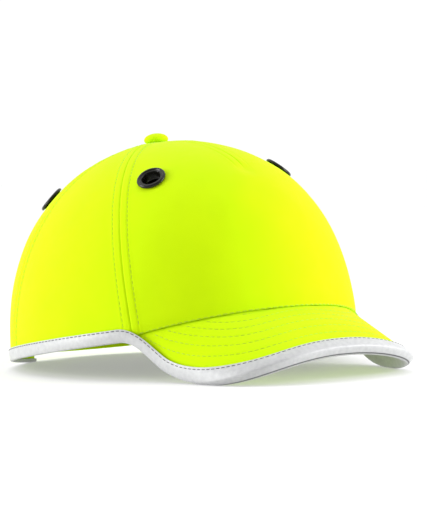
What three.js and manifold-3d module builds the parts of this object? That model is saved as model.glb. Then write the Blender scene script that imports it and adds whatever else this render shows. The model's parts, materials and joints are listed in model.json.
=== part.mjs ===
// A peaked bump cap: a five-panel fabric cap over a removable moulded shell with foam pads.
//
// The cap is drawn in its own frame in millimetres: Z = 0 is the plane of the crown's lower rim,
// -Y is the front, +X is the wearer's left and Z points up along the crown. One group pitches
// this frame back, as the cap stands on its peak and the two lower corners of its rear opening.

import * as THREE from 'three';
import { mergeVertices } from 'three/addons/utils/BufferGeometryUtils.js';
import Module from 'manifold-3d';

const wasm = await Module();
wasm.setup();
const { Manifold } = wasm;
const { ShapeUtils } = THREE;

const DEG = Math.PI / 180;

// ---- Crown ----
const RIM_HALF_WIDTH = 92;
const RIM_HALF_LENGTH = 104;
const CROWN_HEIGHT = 112;
const APEX_BACK = 5;
const FRONT_FULLNESS = 0.68; // under 1 squares the shoulder, 1 is elliptical
const REAR_FULLNESS = 0.7;
const SIDE_FULLNESS = 1.0;
const APEX_HOLE_RADIUS = 3;

// Depths below the crown's outer surface, outer face then inner face.
const PANEL_DEPTH = [0, 1.2];
const LINING_DEPTH = [1.55, 2.3];
const SWEATBAND_DEPTH = [3.1, 5.5];
const SHELL_DEPTH = [6.2, 8.4];
const PAD_DEPTH = [9.2, 14.2];

// Seams, as angles from the front: angle at the apex and its change down to the rim.
const FRONT_SEAM = { angle: 57, drift: -8.5 };
const REAR_SEAM = { angle: 107, drift: 4 };
const BACK_SEAM = { angle: 180, drift: 0 };
const SEAM_GAP = 0.35;
const TAPE_WIDTH = 12;

// ---- Eyelets and button ----
// The front pair isn't quite level: the wearer's right one is set a few millimetres lower.
const EYELETS = {
  front_right: { angle: 38.8, down: 0.493 },
  front_left: { angle: -38.8, down: 0.46 },
  rear_right: { angle: 134, down: 0.458 },
  rear_left: { angle: -134, down: 0.458 },
};
const EYELET_RIM_RADIUS = 8;
const EYELET_BORE_RADIUS = 5.2;
const EYELET_BARREL_RADIUS = 6;
const EYELET_RISE = 1.9;
const EYELET_HOLE_RADIUS = 6.4;
const WASHER_RADIUS = 9;
const WASHER_DEPTH = [3.15, 3.85];
const BUTTON_RADIUS = 6.8;
const BUTTON_HEIGHT = 6;

// ---- Peak ----
const CORNER_ANGLE = 50;
const CORNER_HEIGHT = 2;
const CENTRE_SEAM_RISE = 7.3;
const PEAK_REACH = 84.7; // forward from the corners
const PEAK_HALF_WIDTH = 64.3;
const PEAK_SQUARENESS = 3.8;
const PEAK_FRONT_DROP = 15.5;
const PEAK_SIDE_DROOP = 11.8;
const PEAK_BULGE = 2;
const PEAK_TOP_DEPTH = [0, 0.7];
const PEAK_BOARD_DEPTH = [1.0, 2.8];
const PEAK_UNDER_DEPTH = [3.1, 3.8];

// ---- Bindings ----
const BINDING_THICKNESS = 0.6;
const BINDING_CLEARANCE = 0.3;
const BINDING_WIDTH = 7;

// ---- Rear opening and strap ----
const ARCH_HALF_WIDTH = 40;
const ARCH_HEIGHT = 44;
const ARCH_SQUARING = 0.8;
const STRAP_BOTTOM = 5;
const STRAP_WIDTH = 20;
const STRAP_THICKNESS = 1.2;
const TAPE_THICKNESS = 1.2;
const STRAP_DEPTH = 2.7;
const STRAP_LAYER_GAP = 0.3;
const STRAP_OVERLAP_ANGLE = 0.27;
const STRAP_HINGE_OUT = 31.5; // from the centre back, clear of the opening's binding

// ---- Shell insert and head space ----
const SHELL_FRONT_EDGE = 24;
const SHELL_REAR_EDGE = 54;
const VENT_SLOT = { length: 26, width: 6 };
const VENT_ANGLES = [14, 66, 90, 112, 160];
const VENT_DOWN = 0.44;
const PAD_TOP = 0.6;
const PAD_MARGIN = 3;

const REST_FLAT = 0.5; // depth of the flats pressed into the bindings where the cap stands

// ---------------------------------------------------------------- surfaces

const lerp = (a, b, k) => a + (b - a) * k;

const smooth = (x) => {
  const k = Math.min(1, Math.max(0, x));
  return k * k * (3 - 2 * k);
};

// Distance from the apex axis to the rim ellipse at an angle from the front.
function rimRadius(angle) {
  const sx = Math.sin(angle) / RIM_HALF_WIDTH;
  const sy = Math.cos(angle) / RIM_HALF_LENGTH;
  const a = sx * sx + sy * sy;
  const b = -APEX_BACK * Math.cos(angle) / RIM_HALF_LENGTH ** 2;
  const c = (APEX_BACK / RIM_HALF_LENGTH) ** 2 - 1;
  return (-b + Math.sqrt(b * b - a * c)) / a;
}

function fullness(angle) {
  const front = Math.max(0, Math.cos(angle)) ** 2;
  const rear = Math.max(0, -Math.cos(angle)) ** 2;
  return FRONT_FULLNESS * front + REAR_FULLNESS * rear + SIDE_FULLNESS * (1 - front - rear);
}

// The crown's outer surface: angle from the front towards the wearer's right, down 0 at the apex
// and 1 at the rim.
function crownOuter(angle, down) {
  const u = down * Math.PI / 2;
  const r = rimRadius(angle) * Math.sin(u);
  const z = CROWN_HEIGHT * Math.max(0, Math.cos(u)) ** fullness(angle);
  return new THREE.Vector3(-r * Math.sin(angle), APEX_BACK - r * Math.cos(angle), z);
}

function crownNormal(angle, down) {
  const step = 2e-3;
  const d = Math.min(Math.max(down, 0.02), 0.985);
  const across = crownOuter(angle + step, d).sub(crownOuter(angle - step, d));
  const along = crownOuter(angle, d + step).sub(crownOuter(angle, d - step));
  const n = across.cross(along).normalize();
  return n.z < 0 ? n.negate() : n;
}

function crownPoint(angle, down, depth) {
  return crownOuter(angle, down).addScaledVector(crownNormal(angle, down), -depth);
}

// How far down the crown a height above the rim plane lies.
function downAtHeight(angle, z) {
  const c = Math.max(0, z / CROWN_HEIGHT) ** (1 / fullness(angle));
  return Math.acos(Math.min(1, c)) * 2 / Math.PI;
}

const downAtRadius = (radius) => Math.asin(radius / RIM_HALF_WIDTH) * 2 / Math.PI;

const seamAngle = (seam, down) => (seam.angle + seam.drift * down) * DEG;

// The same seam on the wearer's left.
const mirrored = (seam) => ({ angle: -seam.angle, drift: -seam.drift });

// The angle that a width on the surface takes up, at a place on the crown.
const angleOf = (width, angle, down) => width / (rimRadius(angle) * Math.sin(down * Math.PI / 2));

// ---------------------------------------------------------------- closed bodies

// Turns a point list and a triangle list into a geometry whose faces point outwards.
function closedGeometry(points, triangles) {
  let volume = 0;
  for (let i = 0; i < triangles.length; i += 3) {
    const [a, b, c] = [0, 1, 2].map((k) => points[triangles[i + k]]);
    volume += a.dot(b.clone().cross(c));
  }
  const index = volume > 0 ? triangles : [...triangles].reverse();
  const geometry = new THREE.BufferGeometry();
  geometry.setAttribute('position', new THREE.Float32BufferAttribute(points.flatMap((p) => p.toArray()), 3));
  geometry.setIndex(index);
  return geometry;
}

// A thin body between an outer and an inner grid. pointAt(u, v, side) has u and v from 0 to 1 and
// side 0 outside, 1 inside. With ring, the last column meets the first.
function sheetBody(columns, rows, pointAt, ring = false) {
  const points = [];
  const across = ring ? columns : columns + 1;
  const id = (i, j, side) => (side * (rows + 1) + j) * across + (ring ? i % columns : i);
  for (const side of [0, 1])
    for (let j = 0; j <= rows; j++)
      for (let i = 0; i < across; i++)
        points.push(pointAt(i / columns, j / rows, side));
  const triangles = [];
  const quad = (a, b, c, d) => triangles.push(a, b, c, a, c, d);
  for (let j = 0; j < rows; j++)
    for (let i = 0; i < columns; i++) {
      quad(id(i, j, 0), id(i, j + 1, 0), id(i + 1, j + 1, 0), id(i + 1, j, 0));
      quad(id(i, j, 1), id(i + 1, j, 1), id(i + 1, j + 1, 1), id(i, j + 1, 1));
    }
  for (let i = 0; i < columns; i++) {
    quad(id(i, 0, 0), id(i + 1, 0, 0), id(i + 1, 0, 1), id(i, 0, 1));
    quad(id(i, rows, 0), id(i, rows, 1), id(i + 1, rows, 1), id(i + 1, rows, 0));
  }
  if (!ring)
    for (let j = 0; j < rows; j++) {
      quad(id(0, j, 0), id(0, j, 1), id(0, j + 1, 1), id(0, j + 1, 0));
      quad(id(columns, j, 0), id(columns, j + 1, 0), id(columns, j + 1, 1), id(columns, j, 1));
    }
  return closedGeometry(points, triangles);
}

// The triangles that close a profile, wound the same way as the profile or the opposite way.
function capFaces(profile, offset, sameWay) {
  const outline = profile.map(([x, y]) => new THREE.Vector2(x, y));
  const turn = ShapeUtils.area(outline) > 0;
  return ShapeUtils.triangulateShape(outline, []).flatMap((face) => {
    const along = (ShapeUtils.area(face.map((n) => outline[n])) > 0) === turn;
    const wound = along === sameWay ? face : [...face].reverse();
    return wound.map((n) => n + offset);
  });
}

// A closed profile carried along stations. Each station turns the profile's x and y into a point.
function sweepBody(stations, profileAt) {
  const profiles = stations.map(profileAt);
  const sides = profiles[0].length;
  const points = stations.flatMap((s, k) => profiles[k].map(([x, y]) => s.at(x, y)));
  const triangles = [];
  for (let k = 0; k + 1 < stations.length; k++)
    for (let i = 0; i < sides; i++) {
      const j = (i + 1) % sides;
      const [a, b] = [k * sides + i, k * sides + j];
      triangles.push(a, b, b + sides, a, b + sides, a + sides);
    }
  const last = (stations.length - 1) * sides;
  triangles.push(...capFaces(profiles[0], 0, false), ...capFaces(profiles.at(-1), last, true));
  return closedGeometry(points, triangles);
}

// A solid of revolution about Z. A profile that starts and ends on the axis is closed there.
function revolve(profile, segments) {
  const points = [];
  const rings = profile.map(([r, z]) => {
    const first = points.length;
    const count = r === 0 ? 1 : segments;
    for (let k = 0; k < count; k++) {
      const a = k / segments * 2 * Math.PI;
      points.push(new THREE.Vector3(r * Math.cos(a), r * Math.sin(a), z));
    }
    return { first, count };
  });
  const triangles = [];
  const onAxis = profile[0][0] === 0;
  const pairs = onAxis ? profile.length - 1 : profile.length;
  for (let p = 0; p < pairs; p++) {
    const a = rings[p];
    const b = rings[(p + 1) % rings.length];
    for (let k = 0; k < segments; k++) {
      const n = (k + 1) % segments;
      const at = (ring, i) => ring.first + (ring.count === 1 ? 0 : i);
      if (a.count > 1) triangles.push(at(a, k), at(a, n), at(b, n));
      if (b.count > 1) triangles.push(at(a, k), at(b, n), at(b, k));
    }
  }
  return closedGeometry(points, triangles);
}

// ---------------------------------------------------------------- cutting

function toSolid(geometry) {
  return new Manifold(new wasm.Mesh({
    numProp: 3,
    vertProperties: Float32Array.from(geometry.getAttribute('position').array),
    triVerts: Uint32Array.from(geometry.index.array),
  }));
}

function toGeometry(solid) {
  const mesh = solid.getMesh();
  const geometry = new THREE.BufferGeometry();
  geometry.setAttribute('position', new THREE.Float32BufferAttribute(mesh.vertProperties, 3));
  geometry.setIndex(Array.from(mesh.triVerts));
  return geometry;
}

const cut = (geometry, tools) => toGeometry(
  tools.reduce((body, tool) => body.subtract(tool), toSolid(geometry)));

// Placement of a fitting on the crown: Z along the outward normal, X across, Y up the crown.
function crownFrame(angle, down) {
  const z = crownNormal(angle, down);
  const up = crownOuter(angle, down - 0.01).sub(crownOuter(angle, down + 0.01)).normalize();
  const x = up.clone().cross(z).normalize();
  const y = z.clone().cross(x);
  return new THREE.Matrix4().makeBasis(x, y, z).setPosition(crownOuter(angle, down));
}

const placed = (solid, matrix) => solid.transform(matrix.elements);

// A straight bar with a closed outline, reaching both ways along Z. Each half circle of the
// outline gets two facets for each segment.
function bar(shape, segments) {
  const length = 40;
  const body = new THREE.ExtrudeGeometry(shape, {
    depth: length, bevelEnabled: false, curveSegments: segments,
  });
  body.translate(0, 0, -length / 2);
  return toSolid(positionsOnly(body));
}

// Merges a geometry's shared vertices, so that it is closed.
function positionsOnly(geometry) {
  geometry.deleteAttribute('normal');
  geometry.deleteAttribute('uv');
  return mergeVertices(geometry);
}

function drill(angle, down, radius) {
  const circle = new THREE.Shape().absarc(0, 0, radius, 0, 2 * Math.PI);
  return placed(bar(circle, 10), crownFrame(angle, down));
}

// A slot with round ends, its length running down the crown.
function slotCutter(angle, down) {
  const { length, width } = VENT_SLOT;
  const shift = (length - width) / 2;
  const outline = new THREE.Shape()
    .absarc(0, shift, width / 2, 0, Math.PI)
    .absarc(0, -shift, width / 2, Math.PI, 2 * Math.PI);
  return placed(bar(outline, 2), crownFrame(angle, down));
}

// ---------------------------------------------------------------- materials

const finish = (color, roughness, metalness = 0) =>
  () => new THREE.MeshStandardMaterial({ color, roughness, metalness, side: THREE.DoubleSide });

const YELLOW_FABRIC = finish(0xdcff0a, 0.85);
const REFLECTIVE_TAPE = finish(0xdedede, 0.45, 0.1);
const GLOSS_BLACK = finish(0x17170f, 0.2);
const SHELL_BLACK = finish(0x1b1c1e, 0.5);
const FOAM_BLACK = finish(0x26272a, 0.9);
const BUCKRAM_WHITE = finish(0xe9e8e0, 0.9);
const BOARD_WHITE = finish(0xe2e2dc, 0.6);
const TAPE_BLACK = finish(0x141414, 0.95);

const cap = new THREE.Group();
cap.name = 'cap';

function add(name, geometry, material) {
  const mesh = new THREE.Mesh(geometry, material());
  mesh.name = name;
  cap.add(mesh);
  return mesh;
}

// ---------------------------------------------------------------- crown panels

const RIM_EDGE = BINDING_THICKNESS + BINDING_CLEARANCE;

// Height of the peak seam on the crown.
function seamHeight(angle) {
  const k = angle / (CORNER_ANGLE * DEG);
  return CORNER_HEIGHT + CENTRE_SEAM_RISE * (1 - k * k);
}

const frontEdge = (angle) => Math.max(RIM_EDGE, seamHeight(angle) + BINDING_CLEARANCE);
const sideEdge = () => RIM_EDGE;

// A patch of crown between two seams, from the apex hole or a start down to an edge height.
function crownPatch({ from, to, start, edge, depth, columns, rows, margin }) {
  return sheetBody(columns, rows, (u, v, side) => {
    const nominal = lerp(start, 1, v);
    const a = seamAngle(from, nominal);
    const b = seamAngle(to, nominal);
    const inset = angleOf(margin, a, nominal);
    const angle = lerp(a + inset, b - inset, u);
    const down = lerp(start, downAtHeight(angle, edge(angle)), v);
    return crownPoint(angle, down, depth[side]);
  });
}

function panel(from, to, edge, columns) {
  return crownPatch({
    from, to, edge, columns, rows: 12, depth: PANEL_DEPTH,
    start: downAtRadius(APEX_HOLE_RADIUS), margin: SEAM_GAP / 2,
  });
}

// The rear opening, a round-topped arch cut straight through from behind.
function archCutter() {
  const shape = new THREE.Shape();
  const steps = 24;
  shape.moveTo(...archPoint(Math.PI));
  for (let k = 1; k <= steps; k++) shape.lineTo(...archPoint(Math.PI * (1 - k / steps)));
  shape.lineTo(ARCH_HALF_WIDTH, -10);
  shape.lineTo(-ARCH_HALF_WIDTH, -10);
  const block = new THREE.ExtrudeGeometry(shape, { depth: 120, bevelEnabled: false });
  block.rotateX(Math.PI / 2);
  block.translate(0, 140, 0);
  return toSolid(positionsOnly(block));
}

// A point on the arch's outline: a is pi at the wearer's right foot and 0 at the left foot.
function archPoint(a) {
  const c = Math.cos(a);
  return [
    ARCH_HALF_WIDTH * Math.sign(c) * Math.abs(c) ** ARCH_SQUARING,
    ARCH_HEIGHT * Math.sin(a) ** ARCH_SQUARING,
  ];
}

function addPanels() {
  const hole = ({ angle, down }) => drill(angle * DEG, down, EYELET_HOLE_RADIUS);
  const arch = archCutter();
  add('front_panel', cut(panel(mirrored(FRONT_SEAM), FRONT_SEAM, frontEdge, 22),
    [hole(EYELETS.front_right), hole(EYELETS.front_left)]), YELLOW_FABRIC);
  add('right_side_panel', panel(FRONT_SEAM, REAR_SEAM, sideEdge, 11), YELLOW_FABRIC);
  add('left_side_panel', panel(mirrored(REAR_SEAM), mirrored(FRONT_SEAM), sideEdge, 11), YELLOW_FABRIC);
  add('right_back_panel', cut(panel(REAR_SEAM, BACK_SEAM, sideEdge, 13),
    [hole(EYELETS.rear_right), arch]), YELLOW_FABRIC);
  add('left_back_panel', cut(panel(mirrored(BACK_SEAM), mirrored(REAR_SEAM), sideEdge, 13),
    [hole(EYELETS.rear_left), arch]), YELLOW_FABRIC);
}

// The stiffener behind the front panel, clear of the seam tapes.
function addBuckram() {
  const body = crownPatch({
    from: mirrored(FRONT_SEAM), to: FRONT_SEAM, start: downAtRadius(22), depth: LINING_DEPTH,
    edge: (angle) => frontEdge(angle) + 1, columns: 16, rows: 9, margin: TAPE_WIDTH / 2 + 0.6,
  });
  const hole = ({ angle, down }) => drill(angle * DEG, down, EYELET_HOLE_RADIUS);
  add('front_buckram', cut(body, [hole(EYELETS.front_right), hole(EYELETS.front_left)]), BUCKRAM_WHITE);
}

// A tape over the inside of a seam, from near the button down to an edge height.
function seamTape(seam, edge) {
  const start = downAtRadius(9);
  return sheetBody(2, 11, (u, v, side) => {
    const nominal = lerp(start, 1, v);
    const centre = seamAngle(seam, nominal);
    const width = lerp(5, TAPE_WIDTH, smooth(v * 5));
    const angle = centre + angleOf(width * (u - 0.5), centre, nominal);
    const down = lerp(start, downAtHeight(angle, edge), v);
    return crownPoint(angle, down, LINING_DEPTH[side]);
  });
}

function addSeamTapes() {
  const low = RIM_EDGE + 2;
  add('front_right_seam_tape', seamTape(FRONT_SEAM, frontEdge(FRONT_SEAM.angle * DEG) + low), YELLOW_FABRIC);
  add('front_left_seam_tape',
    seamTape(mirrored(FRONT_SEAM), frontEdge(FRONT_SEAM.angle * DEG) + low), YELLOW_FABRIC);
  add('rear_right_seam_tape', seamTape(REAR_SEAM, low), YELLOW_FABRIC);
  add('rear_left_seam_tape', seamTape(mirrored(REAR_SEAM), low), YELLOW_FABRIC);
  add('centre_back_seam_tape', seamTape(BACK_SEAM, ARCH_HEIGHT + 3), YELLOW_FABRIC);
}

// ---------------------------------------------------------------- button and eyelets

function addButton() {
  const r = BUTTON_RADIUS;
  const h = BUTTON_HEIGHT;
  const stem = 2.2;
  const base = 0.6;
  const foot = -2.4;
  const dome = [[r * 0.86, base], [r, base + 0.9], [r, base + 1.8]];
  for (const k of [1, 2, 3, 4]) {
    const a = k / 5 * Math.PI / 2;
    dome.push([r * Math.cos(a), base + 1.8 + (h - 2.4) * Math.sin(a)]);
  }
  const profile = [[0, foot - 1.2], [stem, foot - 1.2], [stem, base], ...dome, [0, h]];
  const button = add('top_button', revolve(profile, 28), YELLOW_FABRIC);
  button.applyMatrix4(crownFrame(0, 0.0001).setPosition(0, APEX_BACK, CROWN_HEIGHT));
  const washer = [[stem + 0.3, foot], [stem + 0.3, foot - 0.8], [6, foot - 0.8], [6, foot]];
  add('button_washer', revolve(washer, 20), GLOSS_BLACK).position.set(0, APEX_BACK, CROWN_HEIGHT);
}

// A vent eyelet: a rounded rim outside, a barrel through the fabric and a lip rolled over inside.
function eyeletProfile() {
  const lipTop = -WASHER_DEPTH[1] - 0.25;
  const gap = 0.3;
  return [
    [EYELET_BORE_RADIUS, lipTop - 0.6],
    [EYELET_BARREL_RADIUS + 1, lipTop - 0.6],
    [EYELET_BARREL_RADIUS + 1, lipTop],
    [EYELET_BARREL_RADIUS, lipTop],
    [EYELET_BARREL_RADIUS, gap],
    [EYELET_RIM_RADIUS - 0.3, gap],
    [EYELET_RIM_RADIUS, gap + 0.4],
    [EYELET_RIM_RADIUS - 0.25, gap + 1.0],
    [EYELET_RIM_RADIUS - 0.9, EYELET_RISE - 0.15],
    [EYELET_RIM_RADIUS - 1.5, EYELET_RISE],
    [EYELET_BORE_RADIUS + 0.6, EYELET_RISE - 0.35],
    [EYELET_BORE_RADIUS, EYELET_RISE - 1.0],
  ];
}

function addEyelets() {
  const [washerTop, washerFoot] = WASHER_DEPTH;
  const washer = [
    [EYELET_BARREL_RADIUS + 0.25, -washerTop], [EYELET_BARREL_RADIUS + 0.25, -washerFoot],
    [WASHER_RADIUS, -washerFoot], [WASHER_RADIUS, -washerTop],
  ];
  for (const [name, { angle, down }] of Object.entries(EYELETS)) {
    const matrix = crownFrame(angle * DEG, down);
    add(`${name}_eyelet`, revolve(eyeletProfile(), 22), GLOSS_BLACK).applyMatrix4(matrix);
    add(`${name}_eyelet_washer`, revolve(washer, 18), GLOSS_BLACK).applyMatrix4(matrix);
  }
}

// ---------------------------------------------------------------- peak

const corner = crownOuter(CORNER_ANGLE * DEG, 1);
const CORNER_HALF_WIDTH = -corner.x;
const CORNER_FORWARD = -corner.y;

// The peak's inner edge, tucked under the front panel. side runs from -1 on the wearer's left to 1.
function peakInner(side) {
  const angle = side * CORNER_ANGLE * DEG;
  const z = seamHeight(angle);
  const p = crownPoint(angle, downAtHeight(angle, z), PANEL_DEPTH[1]);
  p.z = z;
  return p;
}

// The peak's outer edge: a squared curve in plan that flares to the crown at its corners.
function peakOuter(side) {
  const phi = side * Math.PI / 2;
  const power = 2 / PEAK_SQUARENESS;
  const s = Math.sin(phi);
  const forward = Math.abs(Math.cos(phi)) ** power;
  const flare = (CORNER_HALF_WIDTH - PEAK_HALF_WIDTH) * (1 - forward) ** 4;
  const x = PEAK_HALF_WIDTH * Math.abs(s) ** power + flare;
  const droop = PEAK_SIDE_DROOP * (x / PEAK_HALF_WIDTH) ** 2;
  const cornerDroop = PEAK_SIDE_DROOP * (CORNER_HALF_WIDTH / PEAK_HALF_WIDTH) ** 2;
  const rise = (CORNER_HEIGHT + PEAK_FRONT_DROP + cornerDroop) * (1 - forward) ** 4;
  return new THREE.Vector3(
    -Math.sign(s) * x,
    -CORNER_FORWARD - PEAK_REACH * forward,
    -PEAK_FRONT_DROP - droop + rise,
  );
}

function peakSurface(side, out) {
  const p = peakInner(side).lerp(peakOuter(side), out);
  p.z += PEAK_BULGE * Math.sin(Math.PI * out) * Math.cos(side * Math.PI / 2);
  return p;
}

// One normal serves a whole line from the crown to the edge, so that the layers stay parallel.
function peakNormal(side) {
  const step = 0.01;
  const out = 0.7;
  const across = peakSurface(side + step, out).sub(peakSurface(side - step, out));
  const along = peakSurface(side, out + step).sub(peakSurface(side, out - step));
  const n = across.cross(along).normalize();
  return n.z < 0 ? n.negate() : n;
}

const peakPoint = (side, out, depth) =>
  peakSurface(side, out).addScaledVector(peakNormal(side), -depth);

const PEAK_END = 0.955; // the layers stop here, and the corner beyond is turned under the crown
const PEAK_COLUMNS = 34;

const peakSide = (u) => lerp(-PEAK_END, PEAK_END, u);

function peakLayer(depth) {
  return sheetBody(PEAK_COLUMNS, 5, (u, v, side) => peakPoint(peakSide(u), v, depth[side]));
}

function addPeak() {
  add('peak_top_cover', peakLayer(PEAK_TOP_DEPTH), YELLOW_FABRIC);
  add('peak_board', peakLayer(PEAK_BOARD_DEPTH), BOARD_WHITE);
  add('peak_under_cover', peakLayer(PEAK_UNDER_DEPTH), YELLOW_FABRIC);
}

// ---------------------------------------------------------------- bindings

// A U-shaped fold. X runs from the edge into the fabric and Y outwards from it; the fabric lies
// from 0 down to -stack, and its edge stays a nose length short of the fold.
function foldProfile(stack, outerArm, innerArm, nose = BINDING_CLEARANCE, c = BINDING_CLEARANCE) {
  const t = BINDING_THICKNESS;
  const round = 0.6;
  return [
    [outerArm, c], [-nose, c], [-nose, -stack - c], [innerArm, -stack - c],
    [innerArm, -stack - c - t], [-nose - t + round, -stack - c - t],
    [-nose - t, -stack - c - t + round], [-nose - t, c + t - round],
    [-nose - t + round, c + t], [outerArm, c + t],
  ];
}

function bindPeak() {
  const steps = PEAK_COLUMNS;
  const stations = Array.from({ length: steps + 1 }, (_, k) => {
    const side = peakSide(k / steps);
    const inward = peakSurface(side, 0).sub(peakSurface(side, 1));
    const along = peakSurface(side + 0.01, 1).sub(peakSurface(side - 0.01, 1)).normalize();
    const width = inward.length() * Math.sin(inward.angleTo(along));
    return {
      arm: Math.min(BINDING_WIDTH, width - 2.2),
      at: (x, y) => peakPoint(side, 1 - x / width, -y),
    };
  });
  return sweepBody(stations, (s) => foldProfile(PEAK_UNDER_DEPTH[1], s.arm, s.arm, 0.6, 0.55));
}

// The fold round the crown's rim, from the peak's corner to the foot of the rear opening.
function bindCrown(hand) {
  const steps = 26;
  const stations = Array.from({ length: steps + 1 }, (_, k) => {
    const angle = hand * lerp((CORNER_ANGLE + 1.2) * DEG, Math.PI - ARCH_ANGLE, k / steps);
    return { at: (x, y) => crownPoint(angle, downAtHeight(angle, RIM_EDGE + x), -y) };
  });
  return sweepBody(stations, () => foldProfile(PANEL_DEPTH[1], BINDING_WIDTH - RIM_EDGE, 1.2));
}

// A point of the crown's surface at the back, from its place seen from behind.
function rearPoint(x, z) {
  let angle = Math.PI;
  for (let k = 0; k < 12; k++) {
    const down = downAtHeight(angle, z);
    angle = Math.PI - Math.asin(-x / (rimRadius(angle) * Math.sin(down * Math.PI / 2)));
  }
  return { angle, down: downAtHeight(angle, z) };
}

const ARCH_ANGLE = rearPoint(ARCH_HALF_WIDTH, 0).angle - Math.PI;
const HINGE_ANGLE = rearPoint(STRAP_HINGE_OUT, STRAP_BOTTOM + STRAP_WIDTH / 2).angle - Math.PI;
const SEWN_ANGLE = ARCH_ANGLE + 0.11;

// The fold round the rear opening, standing on the two crown bindings.
function bindArch() {
  const foot = BINDING_WIDTH + 1;
  const lift = Math.asin((foot / ARCH_HEIGHT) ** (1 / ARCH_SQUARING));
  const steps = 28;
  const stations = Array.from({ length: steps + 1 }, (_, k) => {
    const a = lerp(Math.PI - lift, lift, k / steps);
    const here = new THREE.Vector2(...archPoint(a));
    const along = new THREE.Vector2(...archPoint(a - 0.01)).sub(here).normalize();
    return {
      at: (x, y) => {
        const { angle, down } = rearPoint(here.x - along.y * x, here.y + along.x * x);
        return crownPoint(angle, down, -y);
      },
    };
  });
  return sweepBody(stations, () => foldProfile(PANEL_DEPTH[1], BINDING_WIDTH - 1, 1.2, 1.3, 0.55));
}

// ---------------------------------------------------------------- sweatband

function addSweatband() {
  const end = Math.PI - SEWN_ANGLE - 0.02;
  const body = sheetBody(44, 3, (u, v, side) => {
    const angle = lerp(-end, end, u);
    const low = Math.abs(angle) < CORNER_ANGLE * DEG ? seamHeight(angle) : CORNER_HEIGHT;
    const z = lerp(low + 30, low + 1, v);
    return crownPoint(angle, downAtHeight(angle, z), SWEATBAND_DEPTH[side]);
  });
  add('sweatband', body, YELLOW_FABRIC);
}

// ---------------------------------------------------------------- rear strap

// A band lying round the back at a depth, between two angles past the centre back.
function rearBand(from, to, low, high, depth) {
  return sheetBody(10, 1, (u, v, side) => {
    const angle = Math.PI + lerp(from, to, u);
    const z = lerp(high, low, v);
    return crownPoint(angle, downAtHeight(angle, z), depth[side]);
  });
}

function addStraps() {
  const low = STRAP_BOTTOM;
  const high = STRAP_BOTTOM + STRAP_WIDTH;
  const stack = [STRAP_THICKNESS, TAPE_THICKNESS, TAPE_THICKNESS, STRAP_THICKNESS];
  const depths = stack.map((thickness, k) => {
    const top = STRAP_DEPTH + k * STRAP_LAYER_GAP + stack.slice(0, k).reduce((a, b) => a + b, 0);
    return [top, top + thickness];
  });
  const [hookStrap, hookTape, loopTape, loopStrap] = depths;
  const reach = STRAP_OVERLAP_ANGLE;
  add('hook_strap_sewn_end', rearBand(-SEWN_ANGLE, -HINGE_ANGLE, low, high, hookStrap), YELLOW_FABRIC);
  add('hook_strap', rearBand(-HINGE_ANGLE + 0.006, reach + 0.03, low, high, hookStrap), YELLOW_FABRIC);
  add('hook_tape', rearBand(-reach, reach, low + 1, high - 1, hookTape), TAPE_BLACK);
  add('loop_tape', rearBand(-reach, reach, low + 1, high - 1, loopTape), TAPE_BLACK);
  add('loop_strap', rearBand(-reach - 0.03, SEWN_ANGLE, low, high, loopStrap), YELLOW_FABRIC);
}

// ---------------------------------------------------------------- shell insert and pads

function shellEdge(angle) {
  const back = smooth((Math.abs(angle) / DEG - 115) / 45);
  return lerp(SHELL_FRONT_EDGE, SHELL_REAR_EDGE, back);
}

function addShell() {
  const body = sheetBody(42, 10, (u, v, side) => {
    const angle = (u - 0.5) * 2 * Math.PI;
    const down = lerp(downAtRadius(5), downAtHeight(angle, shellEdge(angle)), v);
    return crownPoint(angle, down, SHELL_DEPTH[side]);
  }, true);
  const cutters = Object.values(EYELETS).map(
    ({ angle, down }) => drill(angle * DEG, down, EYELET_BORE_RADIUS + 0.6));
  for (const side of [-1, 1])
    for (const angle of VENT_ANGLES)
      cutters.push(slotCutter(side * angle * DEG, VENT_DOWN));
  add('shell_insert', cut(body, cutters), SHELL_BLACK);
}

// A pad inside the shell, between two angles, that ends a little above the shell's edge.
function pad(from, to, columns, rows) {
  return sheetBody(columns, rows, (u, v, side) => {
    const angle = lerp(from, to, u) * DEG;
    const low = downAtHeight(angle, shellEdge(angle) + PAD_MARGIN);
    return crownPoint(angle, lerp(PAD_TOP, low, v), PAD_DEPTH[side]);
  });
}

function addPads() {
  add('front_pad', pad(-40, 40, 12, 4), FOAM_BLACK);
  add('right_side_pad', pad(56, 108, 8, 4), FOAM_BLACK);
  add('left_side_pad', pad(-108, -56, 8, 4), FOAM_BLACK);
  add('rear_pad', pad(142, 218, 10, 3), FOAM_BLACK);
  const crownPad = sheetBody(28, 4, (u, v, side) => {
    const angle = (u - 0.5) * 2 * Math.PI;
    return crownPoint(angle, lerp(downAtRadius(9), 0.3, v), PAD_DEPTH[side]);
  }, true);
  add('crown_pad', crownPad, FOAM_BLACK);
}

// ---------------------------------------------------------------- assembly

// Pitch at which the rear opening's corners and the peak's low sides stand on one floor.
function standingPitch(rear, front) {
  return Math.atan2(rear.z - front.z, rear.y - front.y);
}

function lowest(mesh, pick) {
  const points = mesh.geometry.getAttribute('position');
  let best = null;
  for (let i = 0; i < points.count; i++) {
    const p = new THREE.Vector3().fromBufferAttribute(points, i);
    if (best === null || pick(p) < pick(best)) best = p;
  }
  return best;
}

// Presses a flat into a mesh where it meets the floor.
function flatten(mesh) {
  const toFloor = mesh.matrixWorld.clone();
  const solid = placed(toSolid(mesh.geometry), toFloor).trimByPlane([0, 0, 1], 0);
  mesh.geometry = toGeometry(placed(solid, toFloor.invert()));
}

addPanels();
addBuckram();
addSeamTapes();
addButton();
addEyelets();
addPeak();
const peakBinding = add('peak_binding', bindPeak(), REFLECTIVE_TAPE);
const rightBinding = add('right_crown_binding', bindCrown(1), REFLECTIVE_TAPE);
const leftBinding = add('left_crown_binding', bindCrown(-1), REFLECTIVE_TAPE);
add('arch_binding', bindArch(), YELLOW_FABRIC);
addSweatband();
addStraps();
addShell();
addPads();

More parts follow.
